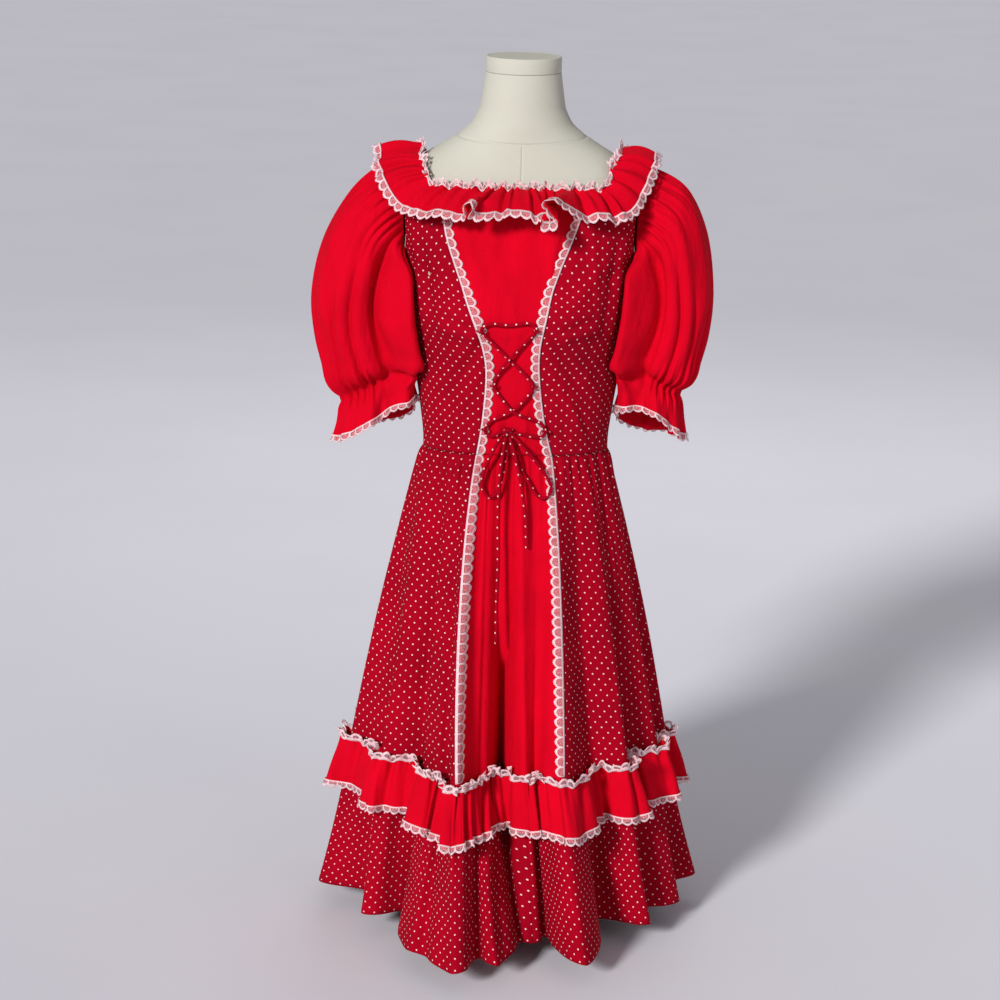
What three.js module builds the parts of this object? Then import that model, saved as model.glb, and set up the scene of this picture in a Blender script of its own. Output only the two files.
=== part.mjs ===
// A square dance dress on a limbless dress form with a low stand. Millimetres, +Z up.
// The front faces -Y. The origin is the middle of the stand's underside, on the floor.
// Angles run round the body: 0 is the centre front, +90 the +X side seam, 180 the centre back.
import * as THREE from "three";

// Driving sizes of the cloth
const WALL = 1.6; // thickness of the cloth walls
const RUFFLE_WALL = 1.8;
const LACE_WALL = 1.2;
const SEAM = 0.3; // half of the gap between pieces that are sewn together
const LAID = 0.9; // gap under a trim that lies on a panel
const TRIM_GAP = 1.1; // gap under the lace on a ruffle, whose waves are steep
const EASE = { body: 4, shoulder: 3.1, from: 1000, to: 1066 }; // air between form and bodice
const SKIRT_CLEAR = 6; // least distance from the form to the skirt

// Heights
const WAIST_Z = 684; // the waist seam, at the side seams
const WAIST_RISE = 8; // how much higher the seam is at the front, and lower at the back
const TIER_Z = 250; // where the flounce is sewn to the skirt, under the ruffle
const HEM_Z = 34; // the hem, just above the floor
const NECK_FRONT_Z = 1050; // the front edge of the square neckline
const NECK_BACK_Z = 1058;
const UNDERARM_Z = 948;
const SHOULDER_NECK_Z = 1089; // the shoulder seam's two ends
const SHOULDER_ARM_Z = 1067;

// The stand
const BASE = { radius: 110, height: 16, edge: 3 };
const POLE_RADIUS = 14;
const NECK_CAP = { radius: 51, height: 21, edge: 8 };
const TOUCH = 0.3; // gap between hard pieces that bear on each other

// Colours
const RED = 0xd40a22; // plain cotton
const DOTTED_RED = 0xb3081f; // the pin-dotted print, which is a little deeper
const LACE_PINK = 0xf0ccd2; // white lace over red cloth
const CREAM = 0xd9d7c8; // the form's jersey cover
const STEEL = 0x9a9a9c;

const { lerp, degToRad: rad, radToDeg: deg, clamp } = THREE.MathUtils;
const at = (x, y, z) => new THREE.Vector3(x, y, z);
const wrap = (angle) => ((((angle + 180) % 360) + 360) % 360) - 180;
const onCircle = (angle, reach, z) => at(reach * Math.sin(rad(angle)), -reach * Math.cos(rad(angle)), z);
const steps = (count, from = 0, to = 1) =>
  Array.from({ length: count + 1 }, (_, k) => lerp(from, to, k / count));
const group = new THREE.Group();

function add(name, geometry, color, { roughness = 0.85, metalness = 0 } = {}) {
  const mesh = new THREE.Mesh(geometry, new THREE.MeshStandardMaterial({ color, roughness, metalness }));
  mesh.name = name;
  group.add(mesh);
}

// A cubic through numbers, read at a place between them. Past the ends it runs straight on, or
// wraps round where it is closed.
function through(values, place, closed = false) {
  const n = values.length;
  const cell = Math.floor(place);
  const t = place - cell;
  const get = (k) => {
    if (closed) return values[((k % n) + n) % n];
    if (k < 0) return values[0] + k * (values[1] - values[0]);
    if (k >= n) return values[n - 1] + (k - n + 1) * (values[n - 1] - values[n - 2]);
    return values[k];
  };
  const [a, b, c, d] = [-1, 0, 1, 2].map((k) => get(cell + k));
  return b + 0.5 * t * (c - a + t * (2 * a - 5 * b + 4 * c - d + t * (3 * (b - c) + d - a)));
}

// The same for a column of angles that goes once round, with whole turns added past each end.
function throughTurn(table, key, place) {
  const n = table.length;
  const cell = Math.floor(place);
  const get = (k) => table[((k % n) + n) % n][key] + 360 * Math.floor(k / n);
  return through([-1, 0, 1, 2].map((k) => get(cell + k)), 1 + place - cell);
}
const column = (table, key) => table.map((row) => row[key]);

// A whole row of a table, read smoothly at any value of its first column.
function readTable(table, key, value) {
  const above = table.findIndex((row) => row[key] > value);
  const k = above < 0 ? table.length - 2 : Math.max(0, above - 1);
  const place = k + clamp((value - table[k][key]) / (table[k + 1][key] - table[k][key]), 0, 1);
  const row = {};
  for (const name of Object.keys(table[0])) row[name] = through(column(table, name), place);
  return row;
}

// A mesh from points and faces, turned inside out if the faces point inwards.
function solid(points, faces) {
  let volume = 0;
  for (const [a, b, c] of faces) volume += points[a].dot(points[b].clone().cross(points[c]));
  const facing = volume < 0 ? faces.map(([a, b, c]) => [b, a, c]) : faces;
  const geometry = new THREE.BufferGeometry().setFromPoints(points);
  geometry.setIndex(facing.flat());
  return geometry;
}

// A closed wall between two grids of points, each a list of rows.
function wallBetween(outer, inner, closed = false) {
  const m = outer.length;
  const n = outer[0].length;
  const faces = [];
  const quad = (a, b, c, d) => faces.push([a, b, c], [a, c, d]);
  const a = (i, j) => i * n + (j % n);
  const b = (i, j) => (m + i) * n + (j % n);
  for (let j = 0; j < (closed ? n : n - 1); j++) {
    for (let i = 0; i < m - 1; i++) {
      quad(a(i, j), a(i, j + 1), a(i + 1, j + 1), a(i + 1, j));
      quad(b(i, j), b(i + 1, j), b(i + 1, j + 1), b(i, j + 1));
    }
    quad(b(0, j), b(0, j + 1), a(0, j + 1), a(0, j));
    quad(a(m - 1, j), a(m - 1, j + 1), b(m - 1, j + 1), b(m - 1, j));
  }
  for (let i = 0; !closed && i < m - 1; i++) {
    quad(b(i, 0), a(i, 0), a(i + 1, 0), b(i + 1, 0));
    quad(a(i, n - 1), b(i, n - 1), b(i + 1, n - 1), a(i + 1, n - 1));
  }
  return solid([...outer.flat(), ...inner.flat()], faces);
}

// A point of a surface, pushed out along its normal.
const NUDGE = 0.01;
function pushedOut(surface, u, v, out) {
  const across = surface(u + NUDGE, v).sub(surface(u - NUDGE, v));
  const along = surface(u, v + NUDGE).sub(surface(u, v - NUDGE));
  return surface(u, v).add(along.cross(across).setLength(out));
}

// A wall whose middle runs on a surface. lift(i, j) moves one crossing of its grid out.
function wallOn(surface, us, vs, { closed = false, thickness = WALL, lift = () => 0 } = {}) {
  const side = (half) =>
    vs.map((v, i) => us.map((u, j) => pushedOut(surface, u, v, lift(i, j) + half)));
  return wallBetween(side(thickness / 2), side(-thickness / 2), closed);
}
const zigzag = (j) => (j % 2 ? 1 : -1);

// A round cord through points.
function tube(points, radius, stepCount, sides) {
  const section = new THREE.Shape();
  for (let k = 0; k < sides; k++) {
    const turn = (2 * Math.PI * k) / sides;
    section[k ? "lineTo" : "moveTo"](radius * Math.cos(turn), radius * Math.sin(turn));
  }
  const extrudePath = new THREE.CatmullRomCurve3(points, false, "centripetal");
  return new THREE.ExtrudeGeometry(section, { steps: stepCount, extrudePath });
}

// The figure: level sections of the dress form, from its cut end up to its neck
const FIGURE = [
  { z: 392, halfWidth: 124, front: 82, back: 92, power: 2.1 },
  { z: 412, halfWidth: 141, front: 94, back: 108, power: 2.2 },
  { z: 470, halfWidth: 150, front: 98, back: 115, power: 2.2 },
  { z: 540, halfWidth: 144, front: 96, back: 109, power: 2.2 },
  { z: 610, halfWidth: 131, front: 90, back: 96, power: 2.1 },
  { z: 684, halfWidth: 122, front: 87, back: 84, power: 2.1 },
  { z: 740, halfWidth: 127, front: 93, back: 86, power: 2.1 },
  { z: 800, halfWidth: 136, front: 101, back: 91, power: 2.2 },
  { z: 850, halfWidth: 144, front: 108, back: 96, power: 2.2 },
  { z: 890, halfWidth: 149, front: 111, back: 101, power: 2.3 },
  { z: 935, halfWidth: 150, front: 107, back: 105, power: 2.5 },
  { z: 975, halfWidth: 152, front: 99, back: 106, power: 2.8 },
  { z: 1010, halfWidth: 156, front: 89, back: 104, power: 3.0 },
  { z: 1036, halfWidth: 160, front: 79, back: 99, power: 2.9 },
  { z: 1056, halfWidth: 160, front: 71, back: 92, power: 2.7 },
  { z: 1070, halfWidth: 152, front: 66, back: 84, power: 2.5 },
  { z: 1082, halfWidth: 137, front: 62, back: 76, power: 2.3 },
  { z: 1092, halfWidth: 121, front: 59, back: 70, power: 2.2 },
  { z: 1104, halfWidth: 102, front: 56, back: 64, power: 2.1 },
  { z: 1116, halfWidth: 84, front: 54, back: 59, power: 2 },
  { z: 1130, halfWidth: 68, front: 53, back: 56, power: 2 },
  { z: 1150, halfWidth: 58, front: 51, back: 54, power: 2 },
  { z: 1198, halfWidth: 51, front: 50, back: 50, power: 2 },
];
const BUST = { angle: 34, z: 884, reach: 15, wide: 21, tall: 46 };
const figureTop = FIGURE[FIGURE.length - 1].z;
const figureBottom = FIGURE[0].z;

// Distance from the figure's axis to its surface.
function figureReach(angle, z) {
  const s = readTable(FIGURE, "z", z);
  const turn = rad(angle);
  const depth = Math.cos(turn) > 0 ? s.front : s.back;
  const sum =
    Math.abs(Math.sin(turn) / s.halfWidth) ** s.power + Math.abs(Math.cos(turn) / depth) ** s.power;
  const fall = ((Math.abs(wrap(angle)) - BUST.angle) / BUST.wide) ** 2 + ((z - BUST.z) / BUST.tall) ** 2;
  return sum ** (-1 / s.power) + BUST.reach * Math.exp(-fall);
}

// A point on the figure, moved out along the surface's normal.
const HAIR = 1.5; // a short way along the figure, in degrees and in millimetres
function onFigure(angle, z, out) {
  const point = (a, h) => onCircle(a, figureReach(a, h), h);
  const across = point(angle + HAIR, z).sub(point(angle - HAIR, z));
  const above = point(angle, Math.min(z + HAIR, figureTop));
  const along = point(angle, Math.max(z - HAIR, figureBottom)).sub(above);
  return point(angle, z).add(along.cross(across).setLength(out));
}

// From the figure to the middle of the bodice's wall, and to its outer face.
const middle = (z) => lerp(EASE.body, EASE.shoulder, clamp((z - EASE.from) / (EASE.to - EASE.from), 0, 1)) + WALL / 2;
const outside = (z) => middle(z) + WALL / 2;

// The angle at which the figure's front has a given x.
function angleAtX(x, z) {
  const s = readTable(FIGURE, "z", z);
  const share = Math.min(0.98, Math.abs(x / (s.halfWidth + middle(z))));
  return deg(Math.atan2(x, (s.front + middle(z)) * (1 - share ** s.power) ** (1 / s.power)));
}
const waistZ = (angle) => WAIST_Z + WAIST_RISE * Math.cos(rad(angle));

const FORM_COLUMNS = 22;
const FORM_ROWS_Z = [
  392, 400, 418, 450, 500, 560, 620, 684, 724, 764, 804, 838, 868, 898, 930, 965, 1000, 1030, 1050, 1066, 1080, 1092,
  1104, 1116, 1130, 1150, 1198,
];

// The form is a stack of rings with a middle point at each end.
function buildForm() {
  const points = [];
  const faces = [];
  const n = FORM_COLUMNS;
  for (const z of FORM_ROWS_Z)
    for (let j = 0; j < n; j++) points.push(onFigure((360 * j) / n, z, 0.001));
  const low = points.push(at(0, 0, figureBottom)) - 1;
  const high = points.push(at(0, 0, figureTop)) - 1;
  const last = FORM_ROWS_Z.length - 1;
  for (let j = 0; j < n; j++) {
    const k = (j + 1) % n;
    for (let i = 0; i < last; i++)
      faces.push([i * n + j, i * n + k, (i + 1) * n + k], [i * n + j, (i + 1) * n + k, (i + 1) * n + j]);
    faces.push([low, k, j], [high, last * n + j, last * n + k]);
  }
  add("form_torso", solid(points, faces), CREAM);

  const capLow = figureTop + TOUCH;
  const capHigh = capLow + NECK_CAP.height;
  const cap = [
    new THREE.Vector2(0, capLow),
    new THREE.Vector2(NECK_CAP.radius, capLow),
    new THREE.Vector2(NECK_CAP.radius, capHigh - NECK_CAP.edge),
    new THREE.Vector2(NECK_CAP.radius - NECK_CAP.edge / 3, capHigh - NECK_CAP.edge / 3),
    new THREE.Vector2(NECK_CAP.radius - NECK_CAP.edge, capHigh),
    new THREE.Vector2(0, capHigh),
  ];
  add("form_neck_cap", new THREE.LatheGeometry(cap, 24).rotateX(Math.PI / 2), CREAM);

  const poleLow = BASE.height + TOUCH;
  const pole = new THREE.CylinderGeometry(POLE_RADIUS, POLE_RADIUS, figureBottom - TOUCH - poleLow, 20);
  pole.rotateX(Math.PI / 2).translate(0, 0, (poleLow + figureBottom - TOUCH) / 2);
  add("stand_pole", pole, STEEL, { roughness: 0.3, metalness: 1 });

  const base = [
    new THREE.Vector2(0, 0),
    new THREE.Vector2(BASE.radius, 0),
    new THREE.Vector2(BASE.radius, BASE.height - BASE.edge),
    new THREE.Vector2(BASE.radius - BASE.edge, BASE.height),
    new THREE.Vector2(0, BASE.height),
  ];
  add("stand_base", new THREE.LatheGeometry(base, 32).rotateX(Math.PI / 2), STEEL, { roughness: 0.4, metalness: 1 });
}

// The two princess lines, where the plain centre front meets the dotted sides: x at each height
const PRINCESS = [
  { z: 684, left: -55, right: 52 },
  { z: 740, left: -47, right: 39 },
  { z: 806, left: -43, right: 31 },
  { z: 845, left: -47, right: 31 },
  { z: 883, left: -57, right: 37 },
  { z: 920, left: -72, right: 45 },
  { z: 955, left: -89, right: 59 },
  { z: 987, left: -101, right: 73 },
  { z: 1015, left: -107, right: 84 },
  { z: 1060, left: -111, right: 94 },
];
const SIDES = [
  { name: "left", sign: -1 },
  { name: "right", sign: 1 },
];
const princessAngle = (side, z) => angleAtX(readTable(PRINCESS, "z", z)[side], z);

// The armhole of the +X side, a loop on the figure from the shoulder down the front and up the back
const ARMHOLE = [
  { angle: 90, z: SHOULDER_ARM_Z },
  { angle: 81, z: 1050 },
  { angle: 75, z: 1012 },
  { angle: 79, z: 970 },
  { angle: 90, z: UNDERARM_Z },
  { angle: 101, z: 970 },
  { angle: 106, z: 1012 },
  { angle: 99, z: 1050 },
];
function armhole(share) {
  const place = share * ARMHOLE.length;
  return { angle: through(column(ARMHOLE, "angle"), place, true), z: through(column(ARMHOLE, "z"), place, true) };
}

// Rows of the bodice: below the underarm they are level, and above it they fan out from the
// inner edge (princess line, neckline, side of the neck) to the armhole.
const LEVEL_ROWS_Z = [724, 764, 804, 838, 868, 898];
const FRONT_EDGE_Z = [930, 965, 1000, NECK_FRONT_Z];
const NECK_EDGE_FRONT = [
  { angle: 63, z: 1053 },
  { angle: 75, z: 1071 },
  { angle: 90, z: SHOULDER_NECK_Z },
];
const BACK_EDGE_Z = [930, 970, 1012, NECK_BACK_Z];
const NECK_EDGE_BACK = [
  { angle: 162, z: 1058 },
  { angle: 143, z: 1059 },
  { angle: 124, z: 1062 },
  { angle: 106, z: 1078 },
  { angle: 90, z: SHOULDER_NECK_Z },
];
const PANEL_COLUMNS = 6;

function bodicePanel(sign, innerAngle, edgeRowsZ, neckEdge, armholeTo) {
  const rows = [{ inner: innerAngle(WAIST_Z), outer: 90 }];
  for (const z of LEVEL_ROWS_Z) rows.push({ inner: innerAngle(z), outer: 90, innerZ: z, outerZ: z });
  const edge = [...edgeRowsZ.map((z) => ({ angle: innerAngle(z), z })), ...neckEdge];
  edge.forEach(({ angle, z }, k) => {
    const arm = armhole(lerp(0.5, armholeTo, k / (edge.length - 1)));
    rows.push({ inner: angle, outer: arm.angle, innerZ: z, outerZ: arm.z });
  });
  const seam = deg(SEAM / 2 / 130);
  const side = (out) =>
    rows.map(({ inner, outer, innerZ, outerZ }, k) =>
      steps(PANEL_COLUMNS).map((share) => {
        const back = k === rows.length - 1 ? 3 * seam * zigzag(armholeTo) : 0;
        const tuck = inner === outer ? 0 : seam * (1 - 2 * share) * Math.sign(outer - inner);
        const angle = lerp(inner, outer, share) + tuck + back;
        const z = innerZ === undefined ? waistZ(angle) + SEAM : lerp(innerZ, outerZ, share);
        return onFigure(sign * angle, z, middle(z) + out);
      }),
    );
  return wallBetween(side(WALL / 2), side(-WALL / 2));
}

function buildBodice() {
  const rowsZ = [null, ...LEVEL_ROWS_Z, ...FRONT_EDGE_Z];
  const side = (out) =>
    rowsZ.map((rowZ) => {
      const left = princessAngle("left", rowZ ?? WAIST_Z) + deg(SEAM / 2 / 120);
      const right = princessAngle("right", rowZ ?? WAIST_Z) - deg(SEAM / 2 / 120);
      return steps(6, left, right).map((angle) => {
        const z = rowZ ?? waistZ(angle) + SEAM;
        return onFigure(angle, z, middle(z) + out);
      });
    });
  add("bodice_front_centre", wallBetween(side(WALL / 2), side(-WALL / 2)), RED);
  for (const { name, sign } of SIDES) {
    const line = (z) => Math.abs(princessAngle(name, z));
    add(`bodice_front_${name}`, bodicePanel(sign, line, FRONT_EDGE_Z, NECK_EDGE_FRONT, 0), DOTTED_RED);
    add(`bodice_back_${name}`, bodicePanel(sign, () => 180, BACK_EDGE_Z, NECK_EDGE_BACK, 1), DOTTED_RED);
  }
}

// The lap over the zip in the centre back seam
const ZIP_LAP = { from: -4, to: 12 }; // across, from the seam
function buildZipLap() {
  const rowsZ = [waistZ(180) + 2, ...LEVEL_ROWS_Z, ...BACK_EDGE_Z.slice(0, -1), NECK_BACK_Z - 8];
  const side = (out) =>
    rowsZ.map((z) =>
      steps(2, ZIP_LAP.from, ZIP_LAP.to).map((x) => onFigure(180 - deg(x / 100), z, outside(z) + LAID + out)),
    );
  add("back_zip_lap", wallBetween(side(WALL), side(0)), DOTTED_RED);
}

// The skirt's folds in plan, crest and hollow in turn, from the -X side seam round the front.
// Each has its angle at the waist, at the tier seam and at the hem, and how far out it reaches.
const FRONT_FOLDS = [
  { waist: -93, tier: -93, tierReach: 224, hem: -92, hemReach: 268 }, // crest at the side seam
  { waist: -80, tier: -77, tierReach: 176, hem: -78, hemReach: 190 },
  { waist: -68, tier: -66, tierReach: 194, hem: -60, hemReach: 230 },
  { waist: -56, tier: -54, tierReach: 152, hem: -52, hemReach: 165 },
  { waist: -47, tier: -36, tierReach: 180, hem: -33, hemReach: 262 },
  { waist: -40, tier: -27, tierReach: 182, hem: -22, hemReach: 284 },
  { waist: -32, tier: -17.5, tierReach: 224, hem: -12, hemReach: 325 }, // crest under the lace
  { waist: -24, tier: -12, tierReach: 164, hem: -7.5, hemReach: 266 },
  { waist: -17, tier: -8, tierReach: 152, hem: -1.5, hemReach: 286 },
  { waist: -8, tier: -3, tierReach: 98, hem: 5, hemReach: 208 }, // the deep middle hollow
  { waist: 4, tier: 7, tierReach: 160, hem: 11, hemReach: 212 },
  { waist: 16, tier: 14, tierReach: 146, hem: 16.5, hemReach: 196 },
  { waist: 30, tier: 24, tierReach: 190, hem: 22, hemReach: 300 }, // crest under the lace
  { waist: 44, tier: 46, tierReach: 152, hem: 45, hemReach: 172 },
  { waist: 56, tier: 58, tierReach: 192, hem: 57, hemReach: 240 },
  { waist: 67, tier: 71, tierReach: 160, hem: 68, hemReach: 202 },
  { waist: 79, tier: 84, tierReach: 210, hem: 80, hemReach: 254 },
  { waist: 89, tier: 94, tierReach: 190, hem: 92, hemReach: 218 }, // hollow at the side seam
  { waist: 99, tier: 103, tierReach: 229, hem: 104, hemReach: 280 },
];
const LEFT_LINE = 6; // rows of the folds that lie under the laces and at the seams
const RIGHT_LINE = 12;
const SIDE_SEAM_RIGHT = 17;
const BACK_FOLDS = 7;
const BACK_REACH = { tierCrest: 226, tierHollow: 180, hemCrest: 282, hemHollow: 212, uneven: 10 };

function backFolds() {
  const last = FRONT_FOLDS[FRONT_FOLDS.length - 1];
  const first = FRONT_FOLDS[0];
  const count = 2 * BACK_FOLDS + 1;
  return steps(count + 1).slice(1, -1).map((share, k) => {
    const crest = k % 2 === 1;
    const uneven = BACK_REACH.uneven * Math.sin(2.4 * k);
    return {
      waist: lerp(last.waist, first.waist + 360, share),
      tier: lerp(last.tier, first.tier + 360, share),
      tierReach: (crest ? BACK_REACH.tierCrest : BACK_REACH.tierHollow) + uneven / 2,
      hem: lerp(last.hem, first.hem + 360, share),
      hemReach: (crest ? BACK_REACH.hemCrest : BACK_REACH.hemHollow) + uneven,
    };
  });
}
const FOLDS = [...FRONT_FOLDS, ...backFolds()];
const CENTRE_BACK = FRONT_FOLDS.length + BACK_FOLDS; // the row at the centre back seam
const foldAngle = (key, place) => throughTurn(FOLDS, key, place);
const foldReach = (key, place) => through(column(FOLDS, key), place, true);

// The upper skirt, from the waist (down = 0) to the tier seam (down = 1). It clears the form.
const SWELL = 0.85; // below 1 the gathers stand out near the waist
function onSkirt(place, down) {
  const waistAngle = foldAngle("waist", place);
  const top = onFigure(waistAngle, waistZ(waistAngle) - SEAM, middle(WAIST_Z));
  const z = lerp(top.z, TIER_Z + SEAM, down);
  const angle = lerp(waistAngle, foldAngle("tier", place), down);
  const opened = Math.max(0, down);
  const reach = lerp(Math.hypot(top.x, top.y), foldReach("tierReach", place), opened ** SWELL);
  if (z < figureBottom) return onCircle(angle, reach, z);
  const clear = Math.min(SKIRT_CLEAR, middle(WAIST_Z) + SKIRT_CLEAR * opened);
  return onCircle(angle, Math.max(reach, figureReach(angle, z) + clear), z);
}

// The flounce, from the tier seam (down = 0) to the hem (down = 1).
const FLARE = 1.25; // above 1 it springs out towards the hem
const flounceDown = (z) => (TIER_Z - SEAM - z) / (TIER_Z - SEAM - HEM_Z);
const flounceAngle = (place, down) => lerp(foldAngle("tier", place), foldAngle("hem", place), down);
const flounceReach = (place, down) =>
  lerp(foldReach("tierReach", place), foldReach("hemReach", place), Math.max(0, down) ** FLARE);
const onFlounce = (place, down) =>
  onCircle(flounceAngle(place, down), flounceReach(place, down), lerp(TIER_Z - SEAM, HEM_Z, down));

const PANELS = [
  { name: "front_left", from: 0, to: LEFT_LINE, color: DOTTED_RED },
  { name: "front_centre", from: LEFT_LINE, to: RIGHT_LINE, color: RED },
  { name: "front_right", from: RIGHT_LINE, to: SIDE_SEAM_RIGHT, color: DOTTED_RED },
  { name: "back_right", from: SIDE_SEAM_RIGHT, to: CENTRE_BACK, color: DOTTED_RED },
  { name: "back_left", from: CENTRE_BACK, to: FOLDS.length, color: DOTTED_RED },
];
const FLOUNCE_PIECES = [
  { name: "front_left", from: 0, to: 9 },
  { name: "front_right", from: 9, to: SIDE_SEAM_RIGHT },
  { name: "back_right", from: SIDE_SEAM_RIGHT, to: CENTRE_BACK },
  { name: "back_left", from: CENTRE_BACK, to: FOLDS.length },
];
const SEAM_PLACE = 0.006; // half of a side seam's gap, in folds
const SKIRT_DOWNS = steps(5);
const FLOUNCE_DOWNS = steps(3);

function buildSkirt() {
  for (const { name, from, to, color } of PANELS) {
    const places = steps(2 * (to - from), from + SEAM_PLACE, to - SEAM_PLACE);
    add(`skirt_${name}`, wallOn(onSkirt, places, SKIRT_DOWNS), color);
  }
  for (const { name, from, to } of FLOUNCE_PIECES) {
    const places = steps(3 * (to - from), from + SEAM_PLACE, to - SEAM_PLACE);
    add(`flounce_${name}`, wallOn(onFlounce, places, FLOUNCE_DOWNS), DOTTED_RED);
  }
}

// The gathered ruffle over the tier seam. It stands off the flounce and bridges narrow hollows.
const TIER_RUFFLE = { top: 254, bottom: 184, lifts: [11, 17, 14], waves: [2, 3, 3] };
const BRIDGE = { steepest: 2.4, least: 132, window: 2, step: 0.1 };
const TIER_COLUMNS = 3 * FOLDS.length;
const ruffleDepth = TIER_RUFFLE.top - TIER_RUFFLE.bottom;

function bridgedReach(place, down) {
  const angle = flounceAngle(place, down);
  let reach = BRIDGE.least;
  for (let by = -BRIDGE.window; by <= BRIDGE.window; by += BRIDGE.step) {
    const other = flounceReach(place + by, down);
    const away = Math.abs(rad(flounceAngle(place + by, down) - angle)) * other;
    reach = Math.max(reach, other - BRIDGE.steepest * away);
  }
  return reach;
}
function onTierRuffle(place, v) {
  const z = lerp(TIER_RUFFLE.top, TIER_RUFFLE.bottom, v);
  const down = flounceDown(z);
  return onCircle(flounceAngle(place, down), bridgedReach(place, down) + through(TIER_RUFFLE.lifts, 2 * v), z);
}

// Lace strips lie on a ruffle's edge and reach past it: how far in, how far out, in millimetres
const HEADING = { lap: 5, reach: 12, wave: 4 };
const EDGING = { lap: 5, reach: 8 };
const onTop = RUFFLE_WALL / 2 + TRIM_GAP + LACE_WALL / 2;

function buildTierRuffle() {
  const places = steps(TIER_COLUMNS, 0, FOLDS.length).slice(0, -1);
  const waves = TIER_RUFFLE.waves;
  const ruffle = { closed: true, thickness: RUFFLE_WALL, lift: (i, j) => zigzag(j) * waves[i] };
  add("tier_ruffle", wallOn(onTierRuffle, places, steps(2), ruffle), RED);
  const spread = HEADING.wave - waves[0] + 2 * LAID;
  const headingLift = (i, j) => onTop + (i ? 2 * LAID + zigzag(j) * waves[0] : spread + zigzag(j) * HEADING.wave);
  const heading = { closed: true, thickness: LACE_WALL, lift: headingLift };
  const headingRows = [-HEADING.reach / ruffleDepth, HEADING.lap / ruffleDepth];
  add("tier_heading_lace", wallOn(onTierRuffle, places, headingRows, heading), LACE_PINK);
  const edging = { closed: true, thickness: LACE_WALL, lift: (i, j) => onTop + zigzag(j) * waves[2] };
  const edgingRows = [1 - EDGING.lap / ruffleDepth, 1 + EDGING.reach / ruffleDepth];
  add("tier_edging_lace", wallOn(onTierRuffle, places, edgingRows, edging), LACE_PINK);
}

// The neck ruffle: where it is sewn to the neckline, and where its outer edge is
const NECK = [
  { angle: -180, z: 1056, outX: 0, outY: 146, outZ: 1020 },
  { angle: -150, z: 1057, outX: -84, outY: 134, outZ: 1022 },
  { angle: -124, z: 1061, outX: -150, outY: 94, outZ: 1032 },
  { angle: -106, z: 1077, outX: -186, outY: 46, outZ: 1066 },
  { angle: -90, z: 1088, outX: -196, outY: 2, outZ: 1089 },
  { angle: -76, z: 1070, outX: -192, outY: -43, outZ: 1062 },
  { angle: -63, z: 1052, outX: -160, outY: -88, outZ: 1022 },
  { angle: -45, z: 1048, outX: -98, outY: -124, outZ: 1019 },
  { angle: -22, z: 1048, outX: -46, outY: -136, outZ: 1022 },
  { angle: 0, z: 1048, outX: 0, outY: -140, outZ: 1024 },
  { angle: 22, z: 1048, outX: 45, outY: -144, outZ: 1013 }, // the large turned fold
  { angle: 45, z: 1048, outX: 91, outY: -124, outZ: 1019 },
  { angle: 63, z: 1052, outX: 146, outY: -94, outZ: 1020 },
  { angle: 76, z: 1070, outX: 176, outY: -43, outZ: 1066 },
  { angle: 90, z: 1088, outX: 183, outY: 2, outZ: 1087 },
  { angle: 106, z: 1077, outX: 176, outY: 46, outZ: 1066 },
  { angle: 124, z: 1061, outX: 148, outY: 94, outZ: 1032 },
  { angle: 150, z: 1057, outX: 84, outY: 134, outZ: 1022 },
];
const NECK_WAVES = 43;
const NECK_RUFFLE = { arch: 7, waves: [1.2, 3.5, 5.5], depth: 58, heading: 12, headingWave: 4 };
const neckColumn = (key, place) => through(column(NECK, key), place, true);

function neckline(place) {
  const z = neckColumn("z", place);
  return onFigure(throughTurn(NECK, "angle", place), z, outside(z) + RUFFLE_WALL / 2 + NECK_RUFFLE.waves[0]);
}
function onNeckRuffle(place, v) {
  const edge = at(neckColumn("outX", place), neckColumn("outY", place), neckColumn("outZ", place));
  const point = neckline(place).lerp(edge, v);
  point.z += NECK_RUFFLE.arch * 4 * v * (1 - v);
  return point;
}
// The heading stands up from the seam. It starts just over the ruffle's own edge.
const HEADING_START = NECK_RUFFLE.waves[0] + RUFFLE_WALL / 2 + LACE_WALL / 2 + LAID;
const onNeckHeading = (place, v) => neckline(place).add(at(0, 0, -v));

function buildNeckRuffle() {
  const places = steps(2 * NECK_WAVES, 0, NECK.length).slice(0, -1);
  const { waves, depth, heading, headingWave } = NECK_RUFFLE;
  const ruffle = { closed: true, thickness: RUFFLE_WALL, lift: (i, j) => zigzag(j) * waves[i] };
  add("neck_ruffle", wallOn(onNeckRuffle, places, steps(2), ruffle), RED);
  const edging = { closed: true, thickness: LACE_WALL, lift: (i, j) => onTop + zigzag(j) * waves[2] };
  const edgingRows = [1 - EDGING.lap / depth, 1 + EDGING.reach / depth];
  add("neck_edging_lace", wallOn(onNeckRuffle, places, edgingRows, edging), LACE_PINK);
  const standing = { closed: true, thickness: LACE_WALL, lift: (i, j) => zigzag(j) * (i ? waves[0] : headingWave) };
  add("neck_heading_lace", wallOn(onNeckHeading, places, [-heading, -HEADING_START], standing), LACE_PINK);
}

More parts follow.
